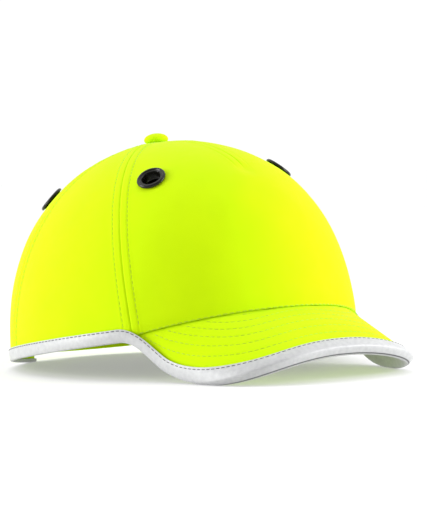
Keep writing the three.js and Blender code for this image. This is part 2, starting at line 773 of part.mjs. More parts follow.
// The pitch is found in a few passes, because the lowest points move a little as the cap tips.
let pitch = 8 * DEG;
for (let pass = 0; pass < 4; pass++) {
  const height = (p) => p.z * Math.cos(pitch) - p.y * Math.sin(pitch);
  pitch = standingPitch(lowest(rightBinding, height), lowest(peakBinding, height));
}
const low = lowest(peakBinding, (p) => p.z * Math.cos(pitch) - p.y * Math.sin(pitch));
const floor = low.z * Math.cos(pitch) - low.y * Math.sin(pitch);

const standing = new THREE.Group();
standing.name = 'bump_cap';
standing.add(cap);
cap.rotation.x = -pitch;
cap.position.z = -floor - REST_FLAT;
standing.updateMatrixWorld(true);
for (const mesh of [peakBinding, rightBinding, leftBinding]) flatten(mesh);

// The origin is the middle of the object's footprint.
const box = new THREE.Box3().setFromObject(standing, true);
cap.position.x -= (box.min.x + box.max.x) / 2;
cap.position.y -= (box.min.y + box.max.y) / 2;

export default standing;
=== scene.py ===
"""A peaked bump cap: five fabric crown panels over a removable moulded shell with foam pads.

Every piece is drawn in the cap's own frame in millimetres: Z = 0 is the plane of the crown's
lower rim, -Y is the front and +X is the wearer's left. The frame then places it: the insert's
slide joint gives the pitch and the button's washer gives the origin.
"""

import json
import math

import bmesh
import bpy
import numpy as np
from mathutils import Matrix, Vector


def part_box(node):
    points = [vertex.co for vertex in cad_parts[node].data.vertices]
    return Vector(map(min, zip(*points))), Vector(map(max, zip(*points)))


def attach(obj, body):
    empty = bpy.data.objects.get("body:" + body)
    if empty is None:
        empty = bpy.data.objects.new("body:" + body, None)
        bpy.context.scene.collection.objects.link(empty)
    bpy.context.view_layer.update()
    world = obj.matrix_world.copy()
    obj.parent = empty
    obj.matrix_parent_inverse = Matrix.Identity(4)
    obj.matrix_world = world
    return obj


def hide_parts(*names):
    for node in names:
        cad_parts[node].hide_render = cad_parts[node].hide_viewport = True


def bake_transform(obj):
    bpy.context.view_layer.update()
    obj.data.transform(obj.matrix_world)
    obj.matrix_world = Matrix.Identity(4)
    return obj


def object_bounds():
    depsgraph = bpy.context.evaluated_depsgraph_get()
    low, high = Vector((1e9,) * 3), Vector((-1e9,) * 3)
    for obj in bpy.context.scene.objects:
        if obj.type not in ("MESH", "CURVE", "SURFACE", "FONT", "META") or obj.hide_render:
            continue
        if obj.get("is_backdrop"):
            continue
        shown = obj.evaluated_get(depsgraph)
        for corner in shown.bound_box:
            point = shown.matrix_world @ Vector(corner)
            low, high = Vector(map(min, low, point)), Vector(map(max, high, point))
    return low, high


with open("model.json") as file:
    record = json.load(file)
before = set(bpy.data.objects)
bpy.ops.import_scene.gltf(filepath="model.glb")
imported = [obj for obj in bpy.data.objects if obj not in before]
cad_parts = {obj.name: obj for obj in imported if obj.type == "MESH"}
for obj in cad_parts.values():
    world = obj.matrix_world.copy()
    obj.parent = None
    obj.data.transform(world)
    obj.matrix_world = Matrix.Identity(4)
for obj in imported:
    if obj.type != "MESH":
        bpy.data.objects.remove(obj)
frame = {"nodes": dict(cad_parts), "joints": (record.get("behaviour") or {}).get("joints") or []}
cad_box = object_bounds()

MM = 0.001
DEG = math.pi / 180
rng = np.random.default_rng(7)

# ---- Crown, in millimetres ----
RIM_HALF_WIDTH = 92
RIM_HALF_LENGTH = 104
CROWN_HEIGHT = 112
APEX_BACK = 5
FRONT_FULLNESS = 0.68
REAR_FULLNESS = 0.7
SIDE_FULLNESS = 1.0
APEX_HOLE_RADIUS = 3
CROWN_ARC = 165  # from the apex to the rim along the surface

# Depths below the crown's outer surface, outer face then inner face.
PANEL_DEPTH = (0, 1.2)
LINING_DEPTH = (1.55, 2.3)
SWEATBAND_DEPTH = (3.1, 5.5)
SHELL_DEPTH = (6.2, 8.4)
PAD_DEPTH = (9.2, 14.2)

# Seams: angle at the apex and its change down to the rim, in degrees.
SEAMS = {
    "front_right": (57, -8.5),
    "front_left": (-57, 8.5),
    "rear_right": (107, 4),
    "rear_left": (-107, -4),
    "centre_back": (180, 0),
}
SEAM_GAP = 0.12
TAPE_WIDTH = 12
STITCH_OFFSET = 4.4  # the topstitching's distance from its seam
SEAM_RIDGE = 0.3  # how far the folded seam allowances lift the cloth
FURROW_DEPTH = 0.32
GROOVE_DEPTH = 0.4
DART_END = 0.515  # the front dart runs this far down the crown

# ---- Fittings ----
EYELETS = {
    "front_right": (38.8, 0.493),
    "front_left": (-38.8, 0.46),
    "rear_right": (134, 0.458),
    "rear_left": (-134, 0.458),
}
EYELET_RIM_RADIUS = 8
EYELET_BORE_RADIUS = 5.2
EYELET_BARREL_RADIUS = 6
EYELET_HOLE_RADIUS = 6.4
WASHER_FOOT = 3.85
BUTTON_RADIUS = 6.8
BUTTON_HEIGHT = 6

# ---- Peak ----
CORNER_ANGLE = 50 * DEG
CORNER_HEIGHT = 2
CENTRE_SEAM_RISE = 7.3
PEAK_REACH = 84.7
PEAK_HALF_WIDTH = 64.3
PEAK_SQUARENESS = 3.8
PEAK_FRONT_DROP = 15.5
PEAK_SIDE_DROOP = 11.8
PEAK_BULGE = 2
PEAK_END = 0.955
PEAK_TOP_DEPTH = (0, 0.7)
PEAK_UNDER_DEPTH = (3.1, 3.8)
PEAK_ROWS = [14 + 7.2 * k for k in range(6)]  # stitch rows, from the outer edge

# ---- Bindings ----
BINDING_THICKNESS = 0.6
BINDING_CLEARANCE = 0.3
BINDING_WIDTH = 7
RIM_EDGE = BINDING_THICKNESS + BINDING_CLEARANCE

# ---- Rear opening and strap ----
ARCH_HALF_WIDTH = 40
ARCH_HEIGHT = 44
ARCH_SQUARING = 0.8
STRAP_BOTTOM = 5
STRAP_WIDTH = 20
STRAP_THICKNESS = 1.2
STRAP_DEPTH = 2.7
STRAP_LAYER_GAP = 0.3
STRAP_OVERLAP_ANGLE = 0.27
STRAP_HINGE_OUT = 31.5

# ---- Shell insert ----
SHELL_FRONT_EDGE = 24
SHELL_REAR_EDGE = 54
VENT_SLOT = (26, 6)
VENT_ANGLES = (14, 66, 90, 112, 160)
VENT_DOWN = 0.44
RIB_ANGLES = (0, 78, -78, 100, -100, 145, -145)
RIB_HEIGHT = 0.35
BEAD_HEIGHT = 0.45
PAD_TOP = 0.6
PAD_MARGIN = 3  # from the shell's lower edge
CROWN_PAD_END = 0.3

SWEATBAND_WIDTH = 29

# ---- Stitches ----
STITCH_LENGTH = 2.3
STITCH_PITCH = 3.0
THREAD_RADIUS = 0.2

# ---- Placing ----

slide = next(j for j in frame["joints"] if j["name"] == "insert_pull_out")
peel = next(j for j in frame["joints"] if j["name"] == "strap_peel")
PITCH = math.atan2(-slide["axis"][1], -slide["axis"][2])
TO_ROW = np.array([
    [1, 0, 0],
    [0, math.cos(PITCH), math.sin(PITCH)],
    [0, -math.sin(PITCH), math.cos(PITCH)],
])
washer_low, washer_high = (np.array(corner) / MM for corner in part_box("button_washer"))
ORIGIN = (washer_low + washer_high) / 2 - TO_ROW @ [0, APEX_BACK, CROWN_HEIGHT - 2.8]


def to_row(points):
    """Cap-frame millimetres to row-frame metres."""
    return (np.asarray(points, float) @ TO_ROW.T + ORIGIN) * MM


# ---- The crown's surface ----


def smooth(x):
    k = np.clip(x, 0, 1)
    return k * k * (3 - 2 * k)


def unit(v):
    return v / np.maximum(np.linalg.norm(v, axis=-1, keepdims=True), 1e-12)


def rim_radius(angle):
    sx, sy = np.sin(angle) / RIM_HALF_WIDTH, np.cos(angle) / RIM_HALF_LENGTH
    a = sx * sx + sy * sy
    b = -APEX_BACK * np.cos(angle) / RIM_HALF_LENGTH**2
    c = (APEX_BACK / RIM_HALF_LENGTH) ** 2 - 1
    return (-b + np.sqrt(b * b - a * c)) / a


def turn_radius(angle, down):
    """Distance of a point of the crown from the line through its apex."""
    return rim_radius(angle) * np.sin(down * math.pi / 2)


def fullness(angle):
    front = np.maximum(0, np.cos(angle)) ** 2
    rear = np.maximum(0, -np.cos(angle)) ** 2
    return FRONT_FULLNESS * front + REAR_FULLNESS * rear + SIDE_FULLNESS * (1 - front - rear)


def crown_outer(angle, down):
    """The outer surface: angle from the front to the wearer's right, down 0 at the apex, 1 at the rim."""
    u = down * math.pi / 2
    r = rim_radius(angle) * np.sin(u)
    z = CROWN_HEIGHT * np.maximum(0, np.cos(u)) ** fullness(angle)
    return np.stack([-r * np.sin(angle), APEX_BACK - r * np.cos(angle), z], axis=-1)


def crown_normal(angle, down):
    step = 2e-3
    d = np.clip(down, 0.02, 0.985)
    across = crown_outer(angle + step, d) - crown_outer(angle - step, d)
    along = crown_outer(angle, d + step) - crown_outer(angle, d - step)
    n = unit(np.cross(across, along))
    return np.where(n[..., 2:] < 0, -n, n)


def crown_point(angle, down, depth):
    angle, down, depth = np.broadcast_arrays(angle, down, depth)
    return crown_outer(angle, down) - crown_normal(angle, down) * depth[..., None]


def down_at_height(angle, z):
    c = np.maximum(0, z / CROWN_HEIGHT) ** (1 / fullness(angle))
    return np.arccos(np.minimum(1, c)) * 2 / math.pi


def down_at_radius(radius):
    return math.asin(radius / RIM_HALF_WIDTH) * 2 / math.pi


def seam_angle(seam, down):
    return (seam[0] + seam[1] * down) * DEG


def seam_distance(seam, angle, down):
    """Signed distance along the surface from a seam to a point of the crown."""
    turn = (angle - seam_angle(seam, down) + math.pi) % (2 * math.pi) - math.pi
    return turn * rim_radius(angle) * np.sin(down * math.pi / 2)


def crown_frame(angle, down):
    """Axes and origin of a fitting: X across, Y up the crown, Z along the outward normal."""
    z = crown_normal(angle, down)
    up = unit(crown_outer(angle, down - 0.01) - crown_outer(angle, down + 0.01))
    x = unit(np.cross(up, z))
    return np.stack([x, np.cross(z, x), z]), crown_outer(angle, down)


def rear_point(x, z):
    """The angle and down of a point of the crown from its place seen from behind."""
    angle = np.full(np.shape(x), math.pi)
    for _ in range(12):
        down = down_at_height(angle, z)
        angle = math.pi - np.arcsin(-x / turn_radius(angle, down))
    return angle, down_at_height(angle, z)


ARCH_ANGLE = float(rear_point(np.array(ARCH_HALF_WIDTH), 0)[0]) - math.pi
HINGE_ANGLE = float(rear_point(np.array(STRAP_HINGE_OUT), STRAP_BOTTOM + STRAP_WIDTH / 2)[0]) - math.pi
SEWN_ANGLE = ARCH_ANGLE + 0.11

# ---- Meshes ----


def add_piece(name, points, faces, material, body="cap", uv=None, sharp=40):
    """Makes a piece of cap-frame points that rides on a body, with its weave coordinates in uv."""
    mesh = bpy.data.meshes.new(name)
    mesh.from_pydata(to_row(points).tolist(), [], [list(map(int, f)) for f in faces])
    if uv is not None:
        layer = mesh.uv_layers.new(name="Cloth")
        corners = np.empty(len(mesh.loops), np.int32)
        mesh.loops.foreach_get("vertex_index", corners)
        layer.data.foreach_set("uv", np.asarray(uv, np.float32)[corners].ravel())
    finish_mesh(mesh, sharp)
    piece = bpy.data.objects.new(name, mesh)
    bpy.context.scene.collection.objects.link(piece)
    mesh.materials.append(material)
    if body:
        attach(piece, body)
    return piece


def finish_mesh(mesh, sharp):
    """Turns every face outwards and shades it smooth between edges sharper than an angle."""
    bm = bmesh.new()
    bm.from_mesh(mesh)
    bmesh.ops.recalc_face_normals(bm, faces=bm.faces)
    bm.to_mesh(mesh)
    bm.free()
    mesh.polygons.foreach_set("use_smooth", np.ones(len(mesh.polygons), bool))
    mesh.set_sharp_from_angle(angle=sharp * DEG)


def strip(a, b):
    """Quads between two index rows of the same length."""
    return np.stack([a[:-1], a[1:], b[1:], b[:-1]], axis=-1)


def closed_sheet(outer, inner, ring=False):
    """Points and quads of a thin body between two grids. With ring, the last column meets the first."""
    rows, across = outer.shape[:2]
    ids = np.arange(2 * rows * across).reshape(2, rows, across)
    if ring:
        ids = np.concatenate([ids, ids[:, :, :1]], axis=2)
    top, under = ids
    quads = [strip(a[j], a[j + 1]) for a in (top, under) for j in range(rows - 1)]
    quads += [strip(top[0], under[0]), strip(top[-1], under[-1])]
    if not ring:
        quads += [strip(top[:, 0], under[:, 0]), strip(top[:, -1], under[:, -1])]
    return np.concatenate([outer.reshape(-1, 3), inner.reshape(-1, 3)]), np.concatenate(quads)


def lengths_along(path):
    """How far along a path each of its points lies."""
    return np.concatenate([[0], np.cumsum(np.linalg.norm(np.diff(path, axis=0), axis=-1))])


def arc_uv(grid):
    """Lengths across and down a grid, in millimetres from its middle column and its first row."""
    across = np.linalg.norm(np.diff(grid, axis=1), axis=-1)
    u = np.concatenate([np.zeros((len(grid), 1)), np.cumsum(across, axis=1)], axis=1)
    u = u - u[:, u.shape[1] // 2][:, None]
    v = lengths_along(grid[:, grid.shape[1] // 2])
    return np.stack([u, np.broadcast_to(v[:, None], u.shape)], axis=-1).reshape(-1, 2)


def add_sheet(name, outer, inner, material, body="cap", ring=False, sharp=40):
    points, quads = closed_sheet(outer, inner, ring)
    return add_piece(name, points, quads, material, body, np.tile(arc_uv(outer), (2, 1)), sharp)


def flat_size(grid):
    """The width, length and area of the cloth that a grid is cut from, in metres."""
    width = np.linalg.norm(np.diff(grid, axis=1), axis=-1).sum(axis=1).max()
    length = np.linalg.norm(np.diff(grid, axis=0), axis=-1).sum(axis=0).max()
    a, b = grid[1:, :-1] - grid[:-1, 1:], grid[1:, 1:] - grid[:-1, :-1]
    area = np.linalg.norm(np.cross(a, b), axis=-1).sum() / 2
    return (width * MM, length * MM), area * MM * MM


def declare_cloth(piece, grid):
    flat, area = flat_size(grid)
    whole = flat[0] * flat[1]
    min(max(area, 0.3 * whole), whole)


def rounded(profile):
    """Cuts the corners of a closed profile, twice over."""
    a = np.asarray(profile, float)
    for _ in range(2):
        b = np.roll(a, -1, axis=0)
        a = np.stack([a * 0.75 + b * 0.25, a * 0.25 + b * 0.75], axis=1).reshape(-1, 2)
    return a


def add_revolved(name, profile, segments, place, material, ripple=None, body="cap", sharp=40):
    """A solid of revolution about the Z of a fitting's place. ripple(turn, z) scales the radius."""
    axes, origin = place
    turn = np.arange(segments) / segments * 2 * math.pi
    r, z = profile[:, 0][:, None], profile[:, 1][:, None]
    scale = 1 if ripple is None else ripple(turn[None, :], z)
    x, y = r * scale * np.cos(turn), r * scale * np.sin(turn)
    local = np.stack([x, y, np.broadcast_to(z, x.shape)], axis=-1)
    points = (local @ axes + origin).reshape(-1, 3)
    ids = np.arange(len(points)).reshape(len(profile), segments)
    ids = np.concatenate([ids, ids[:, :1]], axis=1)
    on_axis = profile[0, 0] < 1e-6
    pairs = len(profile) - 1 if on_axis else len(profile)
    quads = np.concatenate([strip(ids[k], ids[(k + 1) % len(profile)]) for k in range(pairs)])
    uv = np.stack([np.broadcast_to(turn * 6, x.shape), np.broadcast_to(z + r, x.shape)], axis=-1)
    piece = add_piece(name, points, quads, material, body, uv.reshape(-1, 2), sharp)
    weld(piece.data, sharp)
    return piece


def weld(mesh, sharp):
    """Joins points that coincide, as on the axis of a solid of revolution."""
    bm = bmesh.new()
    bm.from_mesh(mesh)
    bmesh.ops.remove_doubles(bm, verts=bm.verts, dist=1e-7)
    bm.to_mesh(mesh)
    bm.free()
    finish_mesh(mesh, sharp)


def cutter(name, points, faces):
    piece = add_piece(name, points, faces, plain_material, body=None)
    piece.hide_render = True
    return piece


def cut(piece, tools, sharp=40):
    """Cuts tools out of a piece, and deletes them."""
    for tool in tools:
        modifier = piece.modifiers.new("Cut", "BOOLEAN")
        modifier.operation = "DIFFERENCE"
        modifier.solver = "MANIFOLD"
        modifier.object = tool
        bpy.context.view_layer.update()
        graph = bpy.context.evaluated_depsgraph_get()
        mesh = bpy.data.meshes.new_from_object(piece.evaluated_get(graph))
        piece.modifiers.clear()
        piece.data = mesh
        bpy.data.objects.remove(tool)
    weld(piece.data, sharp)


def prism(outline, axes, origin, reach):
    """Points and faces of a bar with a closed outline, running both ways along a place's Z."""
    outline = np.asarray(outline, float)
    n = len(outline)
    ends = [np.column_stack([outline, np.full(n, z)]) @ axes + origin for z in (-reach, reach)]
    low = np.arange(n)
    around = np.append(low, 0)
    faces = [list(q) for q in strip(around, around + n)]
    faces += [list(low[::-1]), list(low + n)]
    return np.concatenate(ends), faces


def round_hole(angle, down, radius):
    turn = np.linspace(0, 2 * math.pi, 48, endpoint=False)
    outline = np.column_stack([np.cos(turn), np.sin(turn)]) * radius
    axes, origin = crown_frame(angle, down)
    return cutter("hole", *prism(outline, axes, origin, 20))


# ---- Stitching ----


def along_path(path, pitch):
    """Index positions of evenly spaced places on a path, one to each pitch."""
    length = lengths_along(path)
    count = max(1, int(length[-1] / pitch))
    at = (np.arange(count) + 0.5) * length[-1] / count
    return np.interp(at, length, np.arange(len(path)))


def pick(values, index):
    low = np.clip(np.floor(index).astype(int), 0, len(values) - 2)
    share = (index - low)[:, None]
    return values[low] * (1 - share) + values[low + 1] * share


RING_SIDES = 6
STITCH_RINGS = ((-0.5, -0.9, 0.45), (-0.4, 0.15, 0.9), (0, 0.55, 1), (0.4, 0.15, 0.9), (0.5, -0.9, 0.45))


def stitches(path, normal, pitch=STITCH_PITCH, length=STITCH_LENGTH, radius=THREAD_RADIUS):
    """Points and faces of a row of stitches that dive into the cloth at both ends."""
    index = along_path(path, pitch)
    centre, out = pick(path, index), unit(pick(normal, index))
    after, before = np.minimum(index + 0.5, len(path) - 1), np.maximum(index - 0.5, 0)
    ahead = unit(pick(path, after) - pick(path, before))
    out = unit(out - ahead * (out * ahead).sum(axis=-1, keepdims=True))
    side = np.cross(ahead, out)
    turn = np.arange(RING_SIDES) / RING_SIDES * 2 * math.pi
    rings = []
    for along, rise, size in STITCH_RINGS:
        middle = centre + ahead * along * length + out * rise * radius
        spoke = side[:, None] * np.cos(turn)[:, None] + out[:, None] * np.sin(turn)[:, None]
        rings.append(middle[:, None] + spoke * radius * size)
    points = np.stack(rings, axis=1)
    count, levels = points.shape[:2]
    ids = np.arange(count * levels * RING_SIDES).reshape(count, levels, RING_SIDES)
    looped = np.concatenate([ids, ids[:, :, :1]], axis=2)
    faces = []
    for k in range(levels - 1):
        a, b = looped[:, k], looped[:, k + 1]
        faces.append(np.stack([a[:, :-1], a[:, 1:], b[:, 1:], b[:, :-1]], axis=-1).reshape(-1, 4))
    ends = [list(f) for f in ids[:, 0]] + [list(f) for f in ids[:, -1]]
    return points.reshape(-1, 3), [list(f) for f in np.concatenate(faces)] + ends


def add_stitching(name, rows, material, body="cap"):
    """One piece of every row of stitches in a list."""
    points, faces, count = [], [], 0
    for row_points, row_faces in rows:
        points.append(row_points)
        faces += [[i + count for i in f] for f in row_faces]
        count += len(row_points)
    return add_piece(name, np.concatenate(points), faces, material, body)


# ---- Materials ----


def add_node(tree, kind, sockets, **settings):
    """A shader node whose sockets are linked to other sockets or set to constants."""
    made = tree.nodes.new("ShaderNode" + kind)
    for key, value in settings.items():
        setattr(made, key, value)
    for key, value in dict(sockets).items():
        if isinstance(value, bpy.types.NodeSocket):
            tree.links.new(value, made.inputs[key])
        else:
            made.inputs[key].default_value = value
    return made


class Shader:
    """A Principled material built node by node."""

    def __init__(self, name, **sockets):
        self.material = bpy.data.materials.new(name)
        self.material.use_nodes = True
        self.tree = self.material.node_tree
        self.main = self.tree.nodes["Principled BSDF"]
        for socket, value in sockets.items():
            self.main.inputs[socket.replace("_", " ")].default_value = value

    def node(self, kind, sockets=(), **settings):
        return add_node(self.tree, kind, sockets, **settings)

    def cloth_place(self, stretch=(1, 1, 1)):
        """Lengths across and down the cloth, in millimetres."""
        uv = self.node("UVMap", uv_map="Cloth")
        return self.node("Mapping", {"Vector": uv.outputs[0], "Scale": stretch}).outputs[0]

    def place(self):
        return self.node("TexCoord").outputs["Object"]

    def noise(self, scale, detail=3, vector=None, roughness=0.55):
        sockets = {"Scale": scale, "Detail": detail, "Roughness": roughness,
                   "Vector": self.place() if vector is None else vector}
        return self.node("TexNoise", sockets).outputs["Fac"]

    def blend(self, low, high, value, spread=(0.35, 0.65)):
        """A colour from low to high as a value goes through a spread."""
        ramp = self.node("ValToRGB", {"Fac": value})
        stops = ramp.color_ramp.elements
        stops[0].position, stops[1].position = spread
        stops[0].color, stops[1].color = (*low, 1), (*high, 1)
        return ramp.outputs["Color"]

    def math(self, operation, a, b):
        return self.node("Math", {0: a, 1: b}, operation=operation).outputs[0]

    def range(self, value, low, high):
        return self.node("MapRange", {"Value": value, "To Min": low, "To Max": high}).outputs[0]

    def bump(self, height, distance, strength=1.0, normal=None):
        sockets = {"Height": height, "Distance": distance, "Strength": strength}
        if normal is not None:
            sockets["Normal"] = normal
        return self.node("Bump", sockets).outputs["Normal"]

    def link(self, socket, value):
        self.tree.links.new(value, self.main.inputs[socket])

    def weave(self, pitch, vector=None):
        """Height of a plain weave with a thread pitch in millimetres."""
        vector = self.cloth_place() if vector is None else vector
        band = 2 * math.pi / 20 / pitch
        warp, weft = (
            self.node("TexWave", {"Vector": vector, "Scale": band, "Distortion": 0.4, "Detail": 1.0},
                      bands_direction=axis).outputs["Fac"]
            for axis in "XY")
        over = self.node("TexChecker", {"Vector": vector, "Scale": 1 / pitch}).outputs["Fac"]
        mixed = self.node("Mix", {0: over, 2: warp, 3: weft}, data_type="FLOAT")
        return mixed.outputs[0]


def fabric(name, low, high, pitch, painted_glow, relief=0.00006):
    """Woven cloth: a plain weave with slubs, soft colour changes and sheen, with a painted glow in its own
    colour that lifts its shade.
    """
    # The emission is a painted glow in the cloth's own colour, which brightens its shaded sides.
    s = Shader(name, Sheen_Weight=0.03, Sheen_Roughness=0.45, Specular_IOR_Level=0.08,
               Emission_Color=(*high, 1), Emission_Strength=painted_glow)
    s.link("Base Color", s.blend(low, high, s.noise(38, 4), (0.3, 0.7)))
    weave = s.weave(pitch)
    s.link("Roughness", s.range(s.noise(240, 2), 0.72, 0.92))
    slub = s.bump(s.noise(420, 3), 0.00005, 0.35)
    s.link("Normal", s.bump(weave, relief, 0.5, slub))
    return s.material


def thread(name, colour):
    """Twisted sewing thread."""
    s = Shader(name, Specular_IOR_Level=0.35, Sheen_Weight=0.2)
    dark = tuple(c * 0.82 for c in colour)
    s.link("Base Color", s.blend(dark, colour, s.noise(900, 2)))
    s.link("Roughness", s.range(s.noise(600, 2), 0.5, 0.75))
    s.link("Normal", s.bump(s.noise(2600, 1), 0.00004, 0.4))
    return s.material


def reflective_tape(name):
    """Silver-grey glass-bead tape, with a thin line of painted shade along its fold."""
    s = Shader(name, Specular_IOR_Level=0.4, Metallic=0.1)
    mottle = s.blend((0.47, 0.475, 0.485), (0.57, 0.575, 0.58), s.noise(420, 4), (0.25, 0.75))
    # A narrow dark band on the fold's nose is painted shade, standing in for the grazing light that leaves
    # the tape dark there.
    down = s.node("SeparateXYZ", {0: s.cloth_place()}).outputs[1]
    fold = s.node("MapRange", {"Value": s.math("ABSOLUTE", s.math("SUBTRACT", down, 12.2), 0.0),
                               "From Min": 0.2, "From Max": 0.6, "To Min": 0.0, "To Max": 1.0})
    painted_fold_shade = s.node("Mix", {0: fold.outputs[0], 6: (0.09, 0.092, 0.095, 1), 7: mottle}, data_type="RGBA")
    s.link("Base Color", painted_fold_shade.outputs[2])
    s.link("Roughness", s.range(s.noise(500, 3), 0.38, 0.62))
    beads = s.node("TexVoronoi", {"Vector": s.place(), "Scale": 2600.0}).outputs["Distance"]
    s.link("Normal", s.bump(s.noise(700, 3), 0.00008, 0.4, s.bump(beads, 0.00003, 0.3)))
    return s.material


def moulded(name, low, high, rough, grain, relief, **sockets):
    """Moulded plastic with a fine grain and slightly uneven gloss."""
    s = Shader(name, **sockets)
    s.link("Base Color", s.blend(low, high, s.noise(60, 3)))
    s.link("Roughness", s.range(s.noise(300, 3), *rough))
    s.link("Normal", s.bump(s.noise(grain, 3), relief, 0.5))
    return s.material


def foam(name):
    """Fine open-cell foam."""
    s = Shader(name, Specular_IOR_Level=0.2)
    cells = s.node("TexVoronoi", {"Vector": s.place(), "Scale": 1300.0}).outputs["Distance"]
    s.link("Base Color", s.blend((0.008, 0.0085, 0.01), (0.03, 0.031, 0.034), cells, (0.05, 0.6)))
    s.link("Roughness", s.range(s.noise(200, 2), 0.85, 0.98))
    s.link("Normal", s.bump(cells, 0.0003, 0.8))
    return s.material


def hook_and_loop(name, pitch):
    """Black tape with close rows of hooks or loops."""
    s = Shader(name, Specular_IOR_Level=0.3, Sheen_Weight=0.3)
    vector = s.cloth_place()
    rows = s.node("TexWave", {"Vector": vector, "Scale": 2 * math.pi / 20 / pitch, "Distortion": 2.0},
                  bands_direction="Y").outputs["Fac"]
    tufts = s.node("TexVoronoi", {"Vector": vector, "Scale": 1 / pitch}).outputs["Distance"]
    height = s.math("MULTIPLY", rows, tufts)
    s.link("Base Color", s.blend((0.004, 0.004, 0.004), (0.022, 0.022, 0.023), height, (0.1, 0.7)))
    s.link("Roughness", s.range(tufts, 0.7, 0.95))
    s.link("Normal", s.bump(height, 0.0004, 0.9))
    return s.material


def floor_paint(name):
    """A matt studio floor that glows a little, so that the shadow stays soft."""
    s = Shader(name, Specular_IOR_Level=0.1, Emission_Color=(1, 1, 1, 1), Emission_Strength=0.34)
    s.link("Base Color", s.blend((0.6, 0.6, 0.6), (0.62, 0.62, 0.62), s.noise(3, 2)))
    s.link("Roughness", s.range(s.noise(20, 2), 0.85, 0.95))
    return s.material


YELLOW_LOW = (0.555, 0.815, 0.0001)
YELLOW_HIGH = (0.585, 0.84, 0.0003)

plain_material = Shader("cutting_tool").material
# The number after each weave pitch is the strength of that cloth's painted glow.
yellow_cloth = fabric("hi_vis_cloth", YELLOW_LOW, YELLOW_HIGH, 0.62, 0.05)
band_cloth = fabric("hi_vis_band_cloth", YELLOW_LOW, YELLOW_HIGH, 0.8, 0.03, 0.0001)
buckram_cloth = fabric("buckram_cloth", (0.68, 0.67, 0.62), (0.78, 0.77, 0.72), 1.3, 0.0, 0.0003)
yellow_thread = thread("hi_vis_thread", (0.49, 0.71, 0.001))
dark_thread = thread("dark_grey_thread", (0.045, 0.046, 0.05))
tape_silver = reflective_tape("reflective_tape_silver")
gloss_black = moulded("gloss_black_plastic", (0.006, 0.006, 0.004), (0.012, 0.012, 0.008),
                      (0.2, 0.32), 900, 0.00002, Specular_IOR_Level=0.28)
shell_black = moulded("shell_black_plastic", (0.012, 0.0125, 0.013), (0.018, 0.0185, 0.02),
                      (0.4, 0.55), 1500, 0.00006, Specular_IOR_Level=0.3)
board_white = moulded("board_white_plastic", (0.7, 0.7, 0.68), (0.78, 0.78, 0.75),
                      (0.5, 0.65), 700, 0.00005)
foam_black = foam("foam_dark_grey")
hook_black = hook_and_loop("hook_tape_black", 1.1)
loop_black = hook_and_loop("loop_tape_black", 0.6)

# ---- Crown panels ----

# Steps in from a seam, closest where the groove and the stitch furrow lie.
SEAM_STEPS = np.array([0, 0.25, 0.5, 0.8, 1.2, 1.8, 2.5, 3.2, 3.7, 4.1, 4.4, 4.7, 5.1, 5.6, 6.2, 7.0])
PANEL_ROWS = 88

wave_ways = unit(rng.normal(size=(7, 3)))
wave_lengths = rng.uniform(26, 70, 7)
wave_starts = rng.uniform(0, 2 * math.pi, 7)


def undulation(points, size):
    """Slow swells of the cloth, the same on every piece that shares the surface."""
    phase = points @ (wave_ways * (2 * math.pi / wave_lengths)[:, None]).T + wave_starts
    return size * np.sin(phase).sum(axis=-1) / 3


def spread_columns(width, middle):
    """Shares across spans of several widths, close together near both ends."""
    scale = np.minimum(1, width / (2.5 * SEAM_STEPS[-1]))[:, None]
    left = SEAM_STEPS * scale
    right = width[:, None] - left[:, ::-1]
    share = np.linspace(0, 1, middle + 2)[1:-1]
    inner = left[:, -1:] + (right[:, :1] - left[:, -1:]) * share
    return np.concatenate([left, inner, right], axis=1) / width[:, None]


def seam_height(angle):
    return CORNER_HEIGHT + CENTRE_SEAM_RISE * (1 - (angle / CORNER_ANGLE) ** 2)


def front_edge(angle):
    return np.maximum(RIM_EDGE, seam_height(angle) + BINDING_CLEARANCE)


def side_edge(angle):
    return np.full(np.shape(angle), RIM_EDGE)


def dart_fade(down):
    return 1 - smooth((down - DART_END + 0.035) / 0.035)


def seam_profile(distance):
    """How far the cloth rises beside a seam: folded allowances, a stitch furrow and the seam's groove."""
    d = np.abs(distance)
    ridge = SEAM_RIDGE * (1 - smooth((d - STITCH_OFFSET) / 1.8))
    furrow = FURROW_DEPTH * np.exp(-(((d - STITCH_OFFSET) / 0.55) ** 2))
    groove = GROOVE_DEPTH * np.exp(-((d / 0.5) ** 2))
    return ridge, furrow + groove


def puckers(distance, down):
    """Small gathers that the topstitching draws into the cloth."""
    d = np.abs(distance)
    along = down * CROWN_ARC
    long_wave = np.sin(2 * math.pi * along / 7.3 + 1.7 * np.sin(along / 11))
    short_wave = 0.6 * np.sin(2 * math.pi * along / 4.1)
    return 0.05 * (long_wave + short_wave) * np.exp(-(((d - STITCH_OFFSET) / 2.4) ** 2))


def dart_pucker(angle, down):
    """The dimple where the dart ends, and the soft creases that spread from it."""
    x = angle * rim_radius(angle) * np.sin(down * math.pi / 2)
    y = (down - DART_END) * CROWN_ARC
    dimple = -0.55 * np.exp(-((x / 4) ** 2) - ((y / 6) ** 2))
    crease = 0
    for lean, size in ((0.62, 0.75), (-0.55, 0.45)):
        along = y * math.cos(lean) + x * math.sin(lean)
        off = x * math.cos(lean) - y * math.sin(lean)
        reach = smooth(along / 12) * (1 - smooth((along - 35) / 45))
        crease = crease + size * reach * np.exp(-((off / 9) ** 2))
    return dimple + crease


